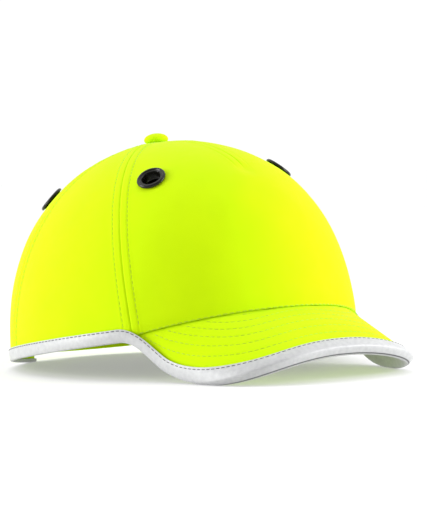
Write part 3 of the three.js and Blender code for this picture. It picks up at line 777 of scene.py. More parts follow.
def crown_relief(angle, down):
    """How far the cloth stands off the crown's surface."""
    ridges, dips, gathers = 0, 0, 0
    near_apex = smooth(down / 0.1)
    for seam in SEAMS.values():
        distance = seam_distance(seam, angle, down)
        ridge, dip = seam_profile(distance)
        ridges, dips = np.maximum(ridges, ridge), np.maximum(dips, dip)
        gathers = gathers + puckers(distance, down)
    distance = seam_distance((0, 0), angle, down)
    ridge, dip = seam_profile(distance)
    fade = dart_fade(down)
    ridges, dips = np.maximum(ridges, ridge * fade * 0.8), np.maximum(dips, dip * fade)
    gathers = gathers + puckers(distance, down) * fade
    swell = undulation(crown_outer(angle, down), 0.16) * smooth(down / 0.15) * smooth((1 - down) / 0.06)
    return (ridges - dips + gathers) * near_apex + swell + dart_pucker(angle, down)


def panel_grid(spans, edge):
    """Angles and downs of a panel whose columns cross each span between two seams."""
    start = down_at_radius(APEX_HOLE_RADIUS)
    v = 1 - (1 - np.linspace(0, 1, PANEL_ROWS)) ** 1.2
    nominal = start + (1 - start) * v
    columns = []
    for k, (a, b, middle) in enumerate(spans):
        from_angle, to_angle = seam_angle(a, nominal), seam_angle(b, nominal)
        around = turn_radius((from_angle + to_angle) / 2, nominal)
        share = spread_columns((to_angle - from_angle) * around, middle)
        angle = from_angle[:, None] + (to_angle - from_angle)[:, None] * share
        columns.append(angle[:, 1:] if k else angle)
    angle = np.concatenate(columns, axis=1)
    around = turn_radius(angle, nominal[:, None])
    angle[:, 0] += SEAM_GAP / 2 / around[:, 0]
    angle[:, -1] -= SEAM_GAP / 2 / around[:, -1]
    down = start + (down_at_height(angle, edge(angle)) - start) * v[:, None]
    return angle, down, v


def edge_roll(v, depth):
    """The turned-under lower edge of a panel."""
    return -depth * smooth((v - 0.985) / 0.015)[:, None]


def add_panel(name, spans, edge, roll=0.0):
    angle, down, v = panel_grid(spans, edge)
    rise = crown_relief(angle, down) + edge_roll(v, roll)
    outer = crown_point(angle, down, PANEL_DEPTH[0] - rise)
    inner = crown_point(angle, down, PANEL_DEPTH[1] - rise)
    piece = add_sheet(f"{name}_cloth", outer, inner, yellow_cloth)
    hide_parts(name)
    return piece, outer


def arch_curve(a):
    """Points of the rear opening's edge, seen from behind."""
    c = np.cos(a)
    x = ARCH_HALF_WIDTH * np.sign(c) * np.abs(c) ** ARCH_SQUARING
    return np.column_stack([x, ARCH_HEIGHT * np.sin(a) ** ARCH_SQUARING])


def arch_cutter():
    feet = [[ARCH_HALF_WIDTH, -10], [-ARCH_HALF_WIDTH, -10]]
    outline = np.concatenate([arch_curve(np.linspace(math.pi, 0, 65)), feet])
    axes = np.array([[1, 0, 0], [0, 0, 1], [0, -1, 0]])
    return cutter("arch", *prism(outline, axes, np.array([0, 90, 0]), 60))


def eyelet_cutter(name, radius=EYELET_HOLE_RADIUS):
    angle, down = EYELETS[name]
    return round_hole(angle * DEG, down, radius)


def add_panels():
    dart = (0, 0)
    back_left = (-180, 0)
    front_spans = [(SEAMS["front_left"], dart, 24), (dart, SEAMS["front_right"], 24)]
    front, front_grid = add_panel("front_panel", front_spans, front_edge, 0.5)
    cut(front, [eyelet_cutter("front_right"), eyelet_cutter("front_left")])
    others = [add_panel(f"{name}_panel", [span], side_edge) for name, span in (
        ("right_side", (SEAMS["front_right"], SEAMS["rear_right"], 24)),
        ("left_side", (SEAMS["rear_left"], SEAMS["front_left"], 24)),
        ("right_back", (SEAMS["rear_right"], SEAMS["centre_back"], 30)),
        ("left_back", (back_left, SEAMS["rear_left"], 30)))]
    cut(others[2][0], [eyelet_cutter("rear_right"), arch_cutter()])
    cut(others[3][0], [eyelet_cutter("rear_left"), arch_cutter()])
    declare_cloth(front, front_grid)
    for piece, grid in others:
        declare_cloth(piece, grid)


def crown_rows(seam, offsets, start, end):
    """Rows of stitches beside a seam, drawn in towards it near the apex."""
    rows = []
    down = np.linspace(start, end, 160)
    centre = seam_angle(seam, down)
    near = smooth(down / 0.12) * 0.75 + 0.25
    for offset in offsets:
        angle = centre + offset * near / turn_radius(centre, down)
        path = crown_point(angle, down, -crown_relief(angle, down) - 0.03)
        rows.append(stitches(path, crown_normal(angle, down)))
    return rows


def add_topstitching():
    start = down_at_radius(9)
    both = (-STITCH_OFFSET, STITCH_OFFSET)
    rows = []
    for name, seam in SEAMS.items():
        low = ARCH_HEIGHT + BINDING_WIDTH if name == "centre_back" else BINDING_WIDTH + 0.5
        end = float(down_at_height(np.array(seam_angle(seam, 1)), low))
        rows += crown_rows(seam, both, start, end)
    add_stitching("crown_topstitching", rows, yellow_thread)
    angle = np.linspace(-CORNER_ANGLE * 0.93, CORNER_ANGLE * 0.93, 240)
    down = down_at_height(angle, front_edge(angle) + 0.35)
    path = crown_point(angle, down, 0.28)
    row = stitches(path, crown_normal(angle, down), 3.4, 2.4)
    add_stitching("peak_seam_stitching", [row], yellow_thread)


# ---- Linings and tapes ----


def cosine_steps(count):
    """From 0 to 1, close together near both ends."""
    return (1 - np.cos(np.linspace(0, math.pi, count))) / 2


def soft_depths(outer, depth, roundness):
    """Depths of the two faces of a band whose edges are rounded off, from its outer grid."""
    u = np.concatenate([np.zeros((len(outer), 1)),
                        np.cumsum(np.linalg.norm(np.diff(outer, axis=1), axis=-1), axis=1)], axis=1)
    v = np.concatenate([np.zeros((1, outer.shape[1])),
                        np.cumsum(np.linalg.norm(np.diff(outer, axis=0), axis=-1), axis=0)])
    border = np.minimum(np.minimum(v, v[-1:] - v), np.minimum(u, u[:, -1:] - u))
    k = np.clip(border / roundness, 0, 1)
    half = (depth[1] - depth[0]) / 2 * np.maximum(0.12, np.sqrt(1 - (1 - k) ** 2))
    middle = (depth[0] + depth[1]) / 2
    return middle - half, middle + half


def add_band(name, angle, down, depth, material, body="cap", roundness=0.5, relief=None):
    """A band lying on the crown at a depth. relief is added to both faces, outwards."""
    angle, down = np.broadcast_arrays(angle, down)
    rough = crown_point(angle, down, sum(depth) / 2)
    top, under = soft_depths(rough, depth, roundness)
    rise = 0 if relief is None else relief
    outer = crown_point(angle, down, top - rise)
    inner = crown_point(angle, down, under - rise)
    return add_sheet(name, outer, inner, material, body), rough


def add_buckram():
    start = down_at_radius(22)
    v = cosine_steps(60)
    nominal = start + (1 - start) * v
    seam = seam_angle(SEAMS["front_right"], nominal)
    reach = seam - (TAPE_WIDTH / 2 + 0.6) / turn_radius(seam, nominal)
    angle = reach[:, None] * (2 * cosine_steps(90) - 1)
    down = start + (down_at_height(angle, front_edge(angle) + 1) - start) * v[:, None]
    piece, grid = add_band("front_buckram_cloth", angle, down, LINING_DEPTH, buckram_cloth)
    cut(piece, [eyelet_cutter("front_right"), eyelet_cutter("front_left")])
    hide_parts("front_buckram")
    declare_cloth(piece, grid)


def add_seam_tape(name, seam, edge):
    start = down_at_radius(9)
    v = cosine_steps(110)
    nominal = (start + (1 - start) * v)[:, None]
    centre = seam_angle(seam, nominal)
    width = 5 + (TAPE_WIDTH - 5) * smooth(v[:, None] * 5)
    share = cosine_steps(13)[None, :] - 0.5
    angle = centre + width * share / turn_radius(centre, nominal)
    down = start + (down_at_height(angle, edge) - start) * v[:, None]
    piece, grid = add_band(f"{name}_cloth", angle, down, LINING_DEPTH, band_cloth)
    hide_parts(name)
    declare_cloth(piece, grid)


def add_seam_tapes():
    low = RIM_EDGE + 2
    front_low = float(front_edge(np.array(57 * DEG))) + low
    for name, edge in (("front_right", front_low), ("front_left", front_low), ("rear_right", low),
                       ("rear_left", low), ("centre_back", ARCH_HEIGHT + 3)):
        add_seam_tape(f"{name}_seam_tape", SEAMS[name], edge)


def add_sweatband():
    end = math.pi - SEWN_ANGLE - 0.02
    angle = end * (2 * np.linspace(0, 1, 260) - 1)[None, :]
    low = np.where(np.abs(angle) < CORNER_ANGLE, seam_height(angle), CORNER_HEIGHT) + 1
    v = cosine_steps(22)[:, None]
    down = down_at_height(angle, low + SWEATBAND_WIDTH * (1 - v))
    piece, _ = add_band("sweatband_cloth", angle, down, SWEATBAND_DEPTH, band_cloth, roundness=1.6,
                        relief=-0.12 * np.sin(angle * 60) * np.sin(v * math.pi))
    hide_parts("sweatband")
    rows = []
    for share in (0.12, 0.88):
        path_angle = angle[0]
        path_down = down_at_height(path_angle, low[0] + SWEATBAND_WIDTH * (1 - share))
        path = crown_point(path_angle, path_down, SWEATBAND_DEPTH[1] + 0.02)
        rows.append(stitches(path, -crown_normal(path_angle, path_down)))
    add_stitching("sweatband_stitching", rows, yellow_thread)


# ---- Button and eyelets ----


def add_button():
    r, h, stem, base, foot = BUTTON_RADIUS, BUTTON_HEIGHT, 2.2, 0.35, -3.6
    turn = np.linspace(-0.45, 1, 22)[1:-1] * math.pi / 2
    waist = base + 2.1
    dome = [[r * math.cos(a), waist + (h - waist if a > 0 else 3.0) * math.sin(a)] for a in turn]
    profile = [[0, foot], [stem, foot], [stem, base], [r * 0.6, base]] + dome + [[0, h]]

    def gathers(angle, z):
        return 1 + 0.018 * np.cos(angle * 11) * smooth((waist + 0.6 - z) / 2.2) * (z > 0)

    axes, _ = crown_frame(0.0, 0.0001)
    place = (axes, np.array([0, APEX_BACK, CROWN_HEIGHT]))
    piece = add_revolved("covered_button", np.array(profile), 72, place, yellow_cloth, gathers)
    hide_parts("top_button")


def eyelet_profile():
    bore, barrel, rim = EYELET_BORE_RADIUS, EYELET_BARREL_RADIUS, EYELET_RIM_RADIUS
    lip = -WASHER_FOOT - 0.25
    return rounded([
        [bore, lip - 0.6], [barrel + 1, lip - 0.6], [barrel + 1, lip], [barrel, lip],
        [barrel, 0.25], [rim - 0.3, 0.25], [rim, 0.5], [rim, 1.1], [rim - 0.5, 1.75],
        [rim - 1.2, 1.9], [rim - 1.7, 1.55], [rim - 2.0, 1.2], [rim - 2.3, 1.35],
        [bore + 0.15, 1.25], [bore, 0.7],
    ])


def add_eyelets():
    for name, (angle, down) in EYELETS.items():
        place = crown_frame(angle * DEG, down)
        piece = add_revolved(f"{name}_vent_eyelet", eyelet_profile(), 72, place, gloss_black)
        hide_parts(f"{name}_eyelet")


# ---- Peak ----

corner = crown_outer(np.array(CORNER_ANGLE), np.array(1.0))
CORNER_HALF_WIDTH, CORNER_FORWARD = -corner[0], -corner[1]


def peak_inner(side):
    angle = side * CORNER_ANGLE
    z = seam_height(angle)
    p = crown_point(angle, down_at_height(angle, z), PANEL_DEPTH[1])
    return np.concatenate([p[..., :2], z[..., None]], axis=-1)


def peak_outer(side):
    phi = side * math.pi / 2
    power = 2 / PEAK_SQUARENESS
    forward = np.abs(np.cos(phi)) ** power
    near_corner = (1 - forward) ** 4
    x = PEAK_HALF_WIDTH * np.abs(np.sin(phi)) ** power
    x = x + (CORNER_HALF_WIDTH - PEAK_HALF_WIDTH) * near_corner
    droop = PEAK_SIDE_DROOP * (x / PEAK_HALF_WIDTH) ** 2
    corner_droop = PEAK_SIDE_DROOP * (CORNER_HALF_WIDTH / PEAK_HALF_WIDTH) ** 2
    rise = (CORNER_HEIGHT + PEAK_FRONT_DROP + corner_droop) * near_corner
    y = -CORNER_FORWARD - PEAK_REACH * forward
    return np.stack([-np.sign(phi) * x, y, -PEAK_FRONT_DROP - droop + rise], axis=-1)


def peak_surface(side, out):
    side, out = np.broadcast_arrays(side, out)
    inner, outer = peak_inner(side), peak_outer(side)
    p = inner + (outer - inner) * out[..., None]
    p[..., 2] += PEAK_BULGE * np.sin(math.pi * out) * np.cos(side * math.pi / 2)
    return p


def peak_normal(side):
    step, out = 0.01, 0.7
    across = peak_surface(side + step, out) - peak_surface(side - step, out)
    along = peak_surface(side, out + step) - peak_surface(side, out - step)
    n = unit(np.cross(across, along))
    return np.where(n[..., 2:] < 0, -n, n)


def peak_point(side, out, depth):
    side, out, depth = np.broadcast_arrays(side, out, depth)
    return peak_surface(side, out) - peak_normal(side) * depth[..., None]


def peak_width(side):
    """Width of the peak at a side, square to its outer edge."""
    inward = peak_surface(side, 0.0) - peak_surface(side, 1.0)
    along = unit(peak_surface(side + 0.01, 1.0) - peak_surface(side - 0.01, 1.0))
    return np.linalg.norm(np.cross(inward, along), axis=-1)


def peak_relief(side, out, furrow):
    """Rows of stitching pressed into the peak's cover, and the cloth swelling between them."""
    distance = (1 - out) * peak_width(side)
    rise = undulation(peak_surface(side, out), 0.07)
    for row in PEAK_ROWS:
        rise = rise - furrow * np.exp(-(((distance - row) / 0.75) ** 2))
    return rise


def add_peak_cover(name, depth, rows, furrow, outwards):
    side = PEAK_END * (2 * np.linspace(0, 1, 190) - 1)[None, :]
    out = np.linspace(0, 1, rows)[:, None]
    side, out = np.broadcast_arrays(side, out)
    rise = peak_relief(side, out, furrow) * outwards
    top = peak_point(side, out, depth[0] - (rise if outwards > 0 else 0))
    under = peak_point(side, out, depth[1] - (rise if outwards < 0 else 0))
    piece = add_sheet(f"{name}_cloth", top, under, yellow_cloth)
    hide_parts(name)
    declare_cloth(piece, top)


def peak_stitch_rows(depth, outwards):
    rows = []
    side = PEAK_END * (2 * np.linspace(0, 1, 400) - 1)
    width = peak_width(side)
    for row in PEAK_ROWS:
        out = 1 - row / width
        inside = out > 0.04
        s, o = side[inside], out[inside]
        rise = peak_relief(s, o, 0.2) * outwards
        path = peak_point(s, o, depth - rise)
        rows.append(stitches(path, peak_normal(s) * outwards, 3.2, 2.5))
    return rows


def add_peak():
    add_peak_cover("peak_top_cover", PEAK_TOP_DEPTH, 120, 0.2, 1)
    add_peak_cover("peak_under_cover", PEAK_UNDER_DEPTH, 80, 0.15, -1)
    add_stitching("peak_topstitching", peak_stitch_rows(PEAK_TOP_DEPTH[0], 1)
                  + peak_stitch_rows(PEAK_UNDER_DEPTH[1], -1), yellow_thread)


# ---- Bindings ----

ARM_STEPS = 9
NOSE_STEPS = 9
STITCH_INSET = 1.1  # from the outer arm's edge to the furrow that its stitches press


def fold_centre(outer_arm, inner_arm, stack, nose, clearance):
    """The middle line of a U-shaped fold, from the end of its outer arm round to the inner one."""
    lift = clearance + BINDING_THICKNESS / 2
    k = np.linspace(0, 1, ARM_STEPS)
    outer = np.column_stack([outer_arm * (1 - k), lift + 0.3 * np.sin(math.pi * k) ** 0.8])
    a = np.linspace(0, math.pi, NOSE_STEPS + 2)[1:-1]
    half = stack / 2 + lift
    middle = -stack / 2
    bend = np.column_stack([-(nose + BINDING_THICKNESS / 2) * np.sin(a) ** 0.7, middle + half * np.cos(a)])
    inner = np.column_stack([inner_arm * k, np.full(ARM_STEPS, -stack - lift)])
    return np.concatenate([outer, bend, inner])


def fold_profile(outer_arm, inner_arm, stack, nose, clearance):
    """A closed fold: X runs from the fabric's edge into it and Y outwards from its outer face."""
    centre = fold_centre(outer_arm, inner_arm, stack, nose, clearance)
    ahead = unit(np.gradient(centre, axis=0))
    out = np.column_stack([ahead[:, 1], -ahead[:, 0]])
    if (out[0] @ [0, 1]) < 0:
        out = -out
    half = np.full(len(centre), BINDING_THICKNESS / 2)
    half[0] = half[-1] = BINDING_THICKNESS / 4
    inset = outer_arm - centre[:ARM_STEPS, 0]
    press = 0.14 * np.exp(-((inset - STITCH_INSET) / 0.6) ** 2)
    outside = half.copy()
    outside[:ARM_STEPS] -= press
    return np.concatenate([centre + out * outside[:, None], (centre - out * half[:, None])[::-1]])


def add_sweep(name, sections, material):
    """A closed profile carried along stations, from its points at each."""
    sections = np.asarray(sections)
    stations, sides = sections.shape[:2]
    ids = np.arange(stations * sides).reshape(stations, sides)
    looped = np.concatenate([ids, ids[:, :1]], axis=1)
    quads = np.concatenate([strip(looped[k], looped[k + 1]) for k in range(stations - 1)])
    half = sides // 2
    ends = [strip(row[:half], row[::-1][:half]) for row in (ids[0], ids[-1])]
    along = lengths_along(sections[:, 0])
    across = lengths_along(sections[stations // 2])[:half]
    across = np.concatenate([across, across[::-1]])
    uv = np.stack(np.broadcast_arrays(along[:, None], across[None, :]), axis=-1).reshape(-1, 2)
    faces = np.concatenate([quads, *ends])
    return add_piece(name, sections.reshape(-1, 3), faces, material, uv=uv, sharp=50)


def press_flat(piece):
    """Flattens what would reach below the floor that the cap stands on."""
    for vertex in piece.data.vertices:
        vertex.co.z = max(vertex.co.z, 0.00005)


def crown_station(angle):
    """Places a fold's profile on the crown's rim."""
    def at(x, y):
        turn = np.full(np.shape(x), angle)
        return crown_point(turn, down_at_height(turn, RIM_EDGE + x), -y)
    return at


def peak_station(side):
    """Places a fold's profile on the peak's edge, square to it."""
    side = np.array(side)
    edge, up = peak_surface(side, 1.0), peak_normal(side)
    along = unit(peak_surface(side + 0.004, 1.0) - peak_surface(side - 0.004, 1.0))
    inward = peak_surface(side, 0.996) - edge
    inward = unit(inward - along * (inward @ along))

    def at(x, y):
        return edge + np.outer(x, inward) + np.outer(y, up)
    return at


def station_frame(at):
    """Where a station's profile is centred, and the directions of its X and Y."""
    zero, one = np.zeros(1), np.ones(1)
    origin = at(zero, zero)[0]
    return origin, unit(at(one, zero)[0] - origin), unit(at(zero, one)[0] - origin)


def rotation(x, y):
    """The turn that carries X and Y to two directions, the second made square to the first."""
    y = unit(y - x * (x @ y))
    return Matrix(np.column_stack([x, y, np.cross(x, y)]).tolist()).to_quaternion()


def mixed_station(start, end, before, after, t):
    """A station between two others on a smooth curve that leaves and meets their neighbours' line."""
    (p0, x0, y0), (p1, x1, y1) = start, end
    reach = np.linalg.norm(p1 - p0)
    m0, m1 = unit(p0 - before) * reach, unit(after - p1) * reach
    h = [2 * t**3 - 3 * t**2 + 1, t**3 - 2 * t**2 + t, -2 * t**3 + 3 * t**2, t**3 - t**2]
    origin = p0 * h[0] + m0 * h[1] + p1 * h[2] + m1 * h[3]
    share = float(smooth(np.array(t)))
    turn = np.array(rotation(x0, y0).slerp(rotation(x1, y1), share).to_matrix())

    def at(x, y):
        return origin + np.outer(x, turn[:, 0]) + np.outer(y, turn[:, 1])
    return at


CROWN_ARM = BINDING_WIDTH - RIM_EDGE
CROWN_STATIONS = 120
PEAK_STATIONS = 220
CORNER_STATIONS = 16
CROWN_RUN_END = CORNER_ANGLE + 3.2 * DEG
ARM_SMOOTHING = 60


def rim_stations():
    """Stations and fold sizes from the right foot of the rear opening round the peak to the left foot."""
    right = [crown_station(a) for a in np.linspace(math.pi - ARCH_ANGLE, CROWN_RUN_END, CROWN_STATIONS)]
    left = [crown_station(-a) for a in np.linspace(CROWN_RUN_END, math.pi - ARCH_ANGLE, CROWN_STATIONS)]
    sides = PEAK_END * (1 - 2 * np.linspace(0, 1, PEAK_STATIONS))
    peak = [peak_station(s) for s in sides]
    arms = np.minimum(BINDING_WIDTH, peak_width(sides) - 2.2)
    for _ in range(ARM_SMOOTHING):
        arms[1:-1] = (arms[:-2] + 2 * arms[1:-1] + arms[2:]) / 4

    def corner_run(a, b, before, after):
        ends = [station_frame(s) for s in (a, b)]
        near, far = station_frame(before)[0], station_frame(after)[0]
        return [mixed_station(*ends, near, far, t) for t in np.linspace(0, 1, CORNER_STATIONS + 2)[1:-1]]

    first = corner_run(right[-1], peak[0], right[-2], peak[1])
    second = corner_run(peak[-1], left[0], peak[-2], left[1])
    stations = right + first + peak + second + left
    on_crown = np.zeros(CROWN_STATIONS)
    on_peak = np.concatenate([
        on_crown, np.linspace(0, 1, CORNER_STATIONS + 2)[1:-1], np.ones(PEAK_STATIONS),
        np.linspace(1, 0, CORNER_STATIONS + 2)[1:-1], on_crown])
    peak_arm = np.pad(arms, CROWN_STATIONS + CORNER_STATIONS, mode="edge")
    return stations, on_peak, peak_arm


def add_rim_binding():
    stations, on_peak, peak_arm = rim_stations()
    sections, path, normal = [], [], []
    for at, k, arm in zip(stations, on_peak, peak_arm):
        outer_arm = CROWN_ARM + (arm - CROWN_ARM) * k
        inner_arm = 1.2 + (arm - 1.2) * k
        stack = PANEL_DEPTH[1] + (PEAK_UNDER_DEPTH[1] - PANEL_DEPTH[1]) * k
        nose = BINDING_CLEARANCE + 0.3 * k
        clearance = BINDING_CLEARANCE + 0.25 * k
        profile = fold_profile(outer_arm, inner_arm, stack, nose, clearance)
        sections.append(at(profile[:, 0], profile[:, 1]))
        here = outer_arm - 0.7 - 0.5 * k
        surface = clearance + BINDING_THICKNESS + 0.02
        path.append(at(np.array([here]), np.array([surface]))[0])
        normal.append(at(np.array([here]), np.array([surface + 1]))[0] - path[-1])
    piece = add_sweep("rim_binding", sections, tape_silver)
    press_flat(piece)
    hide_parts("peak_binding", "right_crown_binding", "left_crown_binding")
    sections = np.asarray(sections)
    declare_cloth(piece, sections[:, :sections.shape[1] // 2])
    row = stitches(np.array(path), np.array(normal), length=2.4)
    add_stitching("rim_binding_stitching", [row], dark_thread)


def add_arch_binding():
    foot = BINDING_WIDTH + 1
    lift = math.asin((foot / ARCH_HEIGHT) ** (1 / ARCH_SQUARING))
    here = arch_curve(np.linspace(math.pi - lift, lift, 150))
    along = unit(np.gradient(here, axis=0))
    profile = fold_profile(BINDING_WIDTH - 1, 1.2, PANEL_DEPTH[1], 1.3, 0.55)

    def section(k, x, y):
        angle, down = rear_point(here[k, 0] - along[k, 1] * x, here[k, 1] + along[k, 0] * x)
        return crown_point(angle, down, -y)

    sections = np.array([section(k, profile[:, 0], profile[:, 1]) for k in range(len(here))])
    piece = add_sweep("arch_binding_cloth", sections, yellow_cloth)
    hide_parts("arch_binding")
    outer_half = sections[:, :sections.shape[1] // 2]
    declare_cloth(piece, outer_half)
    spot, surface = np.array([BINDING_WIDTH - 2.2]), np.array([1.2])
    path = np.array([section(k, spot, surface)[0] for k in range(len(here))])
    normal = np.array([section(k, spot, surface + 1)[0] for k in range(len(here))]) - path
    add_stitching("arch_stitching", [stitches(path, normal)], yellow_thread)


# ---- Rear strap ----


def strap_depths():
    depths, top = [], STRAP_DEPTH
    for _ in range(4):
        depths.append((top, top + STRAP_THICKNESS))
        top += STRAP_THICKNESS + STRAP_LAYER_GAP
    return depths


def rear_band(name, start, end, inset, depth, material, body="cap", columns=110):
    angle = math.pi + np.linspace(start, end, columns)[None, :]
    low, high = STRAP_BOTTOM + inset, STRAP_BOTTOM + STRAP_WIDTH - inset
    z = high + (low - high) * cosine_steps(18)[:, None]
    return add_band(name, angle, down_at_height(angle, z), depth, material, body)


def strap_stitch_rows(start, end, depth):
    rows = []
    angle = math.pi + np.linspace(start, end, 120)
    for z in (STRAP_BOTTOM + 1.8, STRAP_BOTTOM + STRAP_WIDTH - 1.8):
        down = down_at_height(angle, z)
        rows.append(stitches(crown_point(angle, down, depth - 0.02), crown_normal(angle, down)))
    return rows


def bend_at_hinge(piece):
    """Bakes the placing of a piece of webbing between the cap and the strap into its points."""
    pos = Vector(peel["pos_m"])
    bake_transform(piece)


def add_straps():
    hook_strap_depth, hook_depth, loop_depth, loop_strap_depth = strap_depths()
    reach = STRAP_OVERLAP_ANGLE
    strap, strap_grid = rear_band(
        "hook_strap_webbing", -SEWN_ANGLE, reach + 0.03, 0, hook_strap_depth, band_cloth, None, 170)
    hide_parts("hook_strap_sewn_end", "hook_strap")
    declare_cloth(strap, strap_grid)
    rows = strap_stitch_rows(-SEWN_ANGLE + 0.02, reach + 0.01, hook_strap_depth[0])
    sewing = add_stitching("hook_strap_stitching", rows, yellow_thread, None)
    bend_at_hinge(strap)
    bend_at_hinge(sewing)
    other, other_grid = rear_band(
        "loop_strap_webbing", -reach - 0.03, SEWN_ANGLE, 0, loop_strap_depth, band_cloth)
    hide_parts("loop_strap")
    declare_cloth(other, other_grid)
    add_stitching("loop_strap_stitching",
                  strap_stitch_rows(reach + 0.02, SEWN_ANGLE - 0.02, loop_strap_depth[0]), yellow_thread)
    for name, depth, material, body in (("hook_tape", hook_depth, hook_black, "hook_strap"),
                                        ("loop_tape", loop_depth, loop_black, "cap")):
        tape, grid = rear_band(f"{name}_pile", -reach, reach, 1, depth, material, body)
        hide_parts(name)
        declare_cloth(tape, grid)


# ---- Shell insert and pads ----


def shell_edge(angle):
    return SHELL_FRONT_EDGE + (SHELL_REAR_EDGE - SHELL_FRONT_EDGE) * smooth((np.abs(angle) / DEG - 115) / 45)


def slot_cutter(angle, down):
    length, width = VENT_SLOT
    turn = np.linspace(0, math.pi, 12)
    end = np.column_stack([np.cos(turn), np.sin(turn)]) * width / 2
    shift = np.array([0, (length - width) / 2])
    axes, origin = crown_frame(angle, down)
    return cutter("slot", *prism(np.concatenate([end + shift, -end - shift]), axes, origin, 20))


def add_shell():
    angle = (np.arange(240) / 240 * 2 - 1)[None, :] * math.pi
    v = np.concatenate([np.linspace(0, 0.95, 56), np.linspace(0.95, 1, 9)[1:]])[:, None]
    low = down_at_height(angle, shell_edge(angle))
    start = down_at_radius(5)
    down = start + (low - start) * v
    bead = BEAD_HEIGHT * smooth((v - 0.965) / 0.02)
    ribs = 0
    for rib in RIB_ANGLES:
        off = seam_distance((rib, 0), angle, down)
        ribs = np.maximum(ribs, smooth((3.2 - np.abs(off)) / 1.2) * smooth((down - 0.16) / 0.08))
    outer = crown_point(angle, down, SHELL_DEPTH[0] - RIB_HEIGHT * ribs * (1 - smooth((v - 0.8) / 0.15)))
    inner = crown_point(angle, down, SHELL_DEPTH[1] + bead)
    piece = add_sheet("moulded_shell", outer, inner, shell_black, "insert", ring=True)
    tools = [eyelet_cutter(name, EYELET_BORE_RADIUS + 0.6) for name in EYELETS]
    tools += [slot_cutter(side * a * DEG, VENT_DOWN) for side in (-1, 1) for a in VENT_ANGLES]
    cut(piece, tools)
    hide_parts("shell_insert")


def add_pad(name, start, end, columns):
    """A die-cut foam pad with rounded corners and edges."""
    corner_share = 0.12
    u = cosine_steps(columns)[None, :]
    angle = (start + (end - start) * u) * DEG
    top = np.full(angle.shape, PAD_TOP)
    bottom = down_at_height(angle, shell_edge(angle) + PAD_MARGIN)
    off = np.clip(1 - np.minimum(u, 1 - u) / corner_share, 0, 1)
    inset = 0.05 * (1 - np.sqrt(1 - off**2))
    v = cosine_steps(30)[:, None]
    down = (top + inset) + (bottom - top - 2 * inset) * v
    piece, _ = add_band(f"{name}_foam", angle, down, PAD_DEPTH, foam_black, "insert", roundness=2.2)
    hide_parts(name)


def add_pads():
    add_pad("front_pad", -40, 40, 70)
    add_pad("right_side_pad", 56, 108, 50)
    add_pad("left_side_pad", -108, -56, 50)
    add_pad("rear_pad", 142, 218, 60)
    angle = (np.arange(120) / 120 * 2 - 1)[None, :] * math.pi
    start = down_at_radius(9)
    v = cosine_steps(30)[:, None]
    down = start + (CROWN_PAD_END - start) * v
    k = np.clip(np.minimum(v, 1 - v) * 40 / 2.2, 0, 1)
    half = (PAD_DEPTH[1] - PAD_DEPTH[0]) / 2 * np.maximum(0.1, np.sqrt(1 - (1 - k) ** 2))
    middle = sum(PAD_DEPTH) / 2
    angle, down = np.broadcast_arrays(angle, down)
    top, under = (crown_point(angle, down, depth) for depth in (middle - half, middle + half))
    piece = add_sheet("crown_pad_foam", top, under, foam_black, "insert", ring=True)
    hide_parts("crown_pad")


# ---- Studio ----

VIEW_AZIMUTH = -35.3 * DEG
VIEW_ELEVATION = 2.0 * DEG
VIEW_ROLL = -1.6 * DEG
VIEW_DISTANCE = 1.428
VIEW_LENS = 181.5
PIVOT_HEIGHT = 61.2
AIM_RIGHT = 0.0184  # the frame's centre, right of the pivot and above it
AIM_UP = -0.0132


def add_camera():
    a, e = VIEW_AZIMUTH, VIEW_ELEVATION
    back = Vector((math.sin(a) * math.cos(e), -math.cos(a) * math.cos(e), math.sin(e)))
    pivot = Vector(to_row([0, 0, 0]).tolist()) + Vector((0, 0, PIVOT_HEIGHT * MM))
    place = pivot + back * VIEW_DISTANCE
    level_right = Vector((0, 0, 1)).cross(back).normalized()
    level_up = back.cross(level_right)
    right = level_right * math.cos(VIEW_ROLL) + level_up * math.sin(VIEW_ROLL)
    up = level_up * math.cos(VIEW_ROLL) - level_right * math.sin(VIEW_ROLL)
    aim = pivot + right * AIM_RIGHT + up * AIM_UP
    z = (place - aim).normalized()
    x = up.cross(z).normalized()
    y = z.cross(x)
    camera = bpy.data.objects.new("camera", bpy.data.cameras.new("camera"))
    camera.data.lens = VIEW_LENS
    camera.data.sensor_width = 36
    camera.data.clip_end = 20
    camera.matrix_world = Matrix((
        (x.x, y.x, z.x, place.x), (x.y, y.y, z.y, place.y), (x.z, y.z, z.z, place.z), (0, 0, 0, 1)))
    bpy.context.scene.collection.objects.link(camera)
    bpy.context.scene.camera = camera
    return pivot, level_right, back


def add_light(name, place, target, size, power):
    light = bpy.data.lights.new(name, "AREA")
    light.shape = "RECTANGLE"
    light.size, light.size_y = size
    light.energy = power
    lamp = bpy.data.objects.new(name, light)
    lamp.location = place
    lamp.rotation_euler = (place - target).to_track_quat("Z", "Y").to_euler()
    bpy.context.scene.collection.objects.link(lamp)


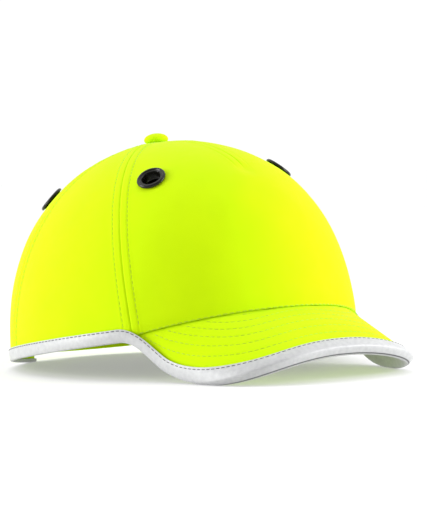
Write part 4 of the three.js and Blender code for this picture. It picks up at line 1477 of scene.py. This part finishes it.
def add_backdrop(back):
    """White all round, brighter overhead and dimmer from the side that the cap is seen from."""
    world = bpy.data.worlds.new("studio")
    world.use_nodes = True
    tree = world.node_tree
    way = add_node(tree, "TexCoord", {}).outputs["Generated"]
    facing = add_node(tree, "VectorMath", {0: way, 1: tuple(back)}, operation="DOT_PRODUCT").outputs["Value"]
    level = add_node(tree, "MapRange", {"Value": facing, "From Min": 0.0, "From Max": 0.8,
                                        "To Min": 1.05, "To Max": 0.05}).outputs[0]
    height = add_node(tree, "SeparateXYZ", {0: way}).outputs[2]
    overhead = add_node(tree, "MapRange", {"Value": height, "To Min": 0.0, "To Max": 0.45}).outputs[0]
    strength = add_node(tree, "Math", {0: level, 1: overhead}, operation="ADD").outputs[0]
    tree.links.new(strength, tree.nodes["Background"].inputs["Strength"])
    tree.nodes["Background"].inputs["Color"].default_value = (1, 1, 1, 1)
    bpy.context.scene.world = world


def add_studio():
    pivot, right, back = add_camera()
    up = Vector((0, 0, 1))
    add_light("right_softbox", pivot + right * 1.25 + back * 0.24 + up * 0.17, pivot, (0.6, 0.9), 18.5)
    add_light("left_softbox", pivot - right * 1.25 + back * 0.17 + up * 0.2, pivot, (0.6, 0.9), 14)
    add_backdrop(back)
    reach = 6
    bm = bmesh.new()
    bmesh.ops.create_grid(bm, x_segments=8, y_segments=8, size=reach)
    mesh = bpy.data.meshes.new("floor")
    bm.to_mesh(mesh)
    bm.free()
    floor = bpy.data.objects.new("floor", mesh)
    mesh.materials.append(floor_paint("floor_white"))
    bpy.context.scene.collection.objects.link(floor)
    floor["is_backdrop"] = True


# ---- Assembly ----

add_studio()
bpy.context.scene.view_settings.view_transform = "Standard"
add_panels()
add_topstitching()
add_buckram()
add_seam_tapes()
add_button()
add_eyelets()
add_peak()
add_rim_binding()
add_arch_binding()
add_sweatband()
add_straps()
add_shell()
add_pads()


def paint(material, *names):
    """Gives a carried-over CAD node its material."""
    for name in names:
        node = frame["nodes"][name]
        node.data.materials.clear()
        node.data.materials.append(material)


paint(board_white, "peak_board")
paint(gloss_black, "button_washer", *(f"{name}_eyelet_washer" for name in EYELETS))

boxes = {"cad": cad_box, "visual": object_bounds()}
{k: [list(map(float, corner)) for corner in box] for k, box in boxes.items()}
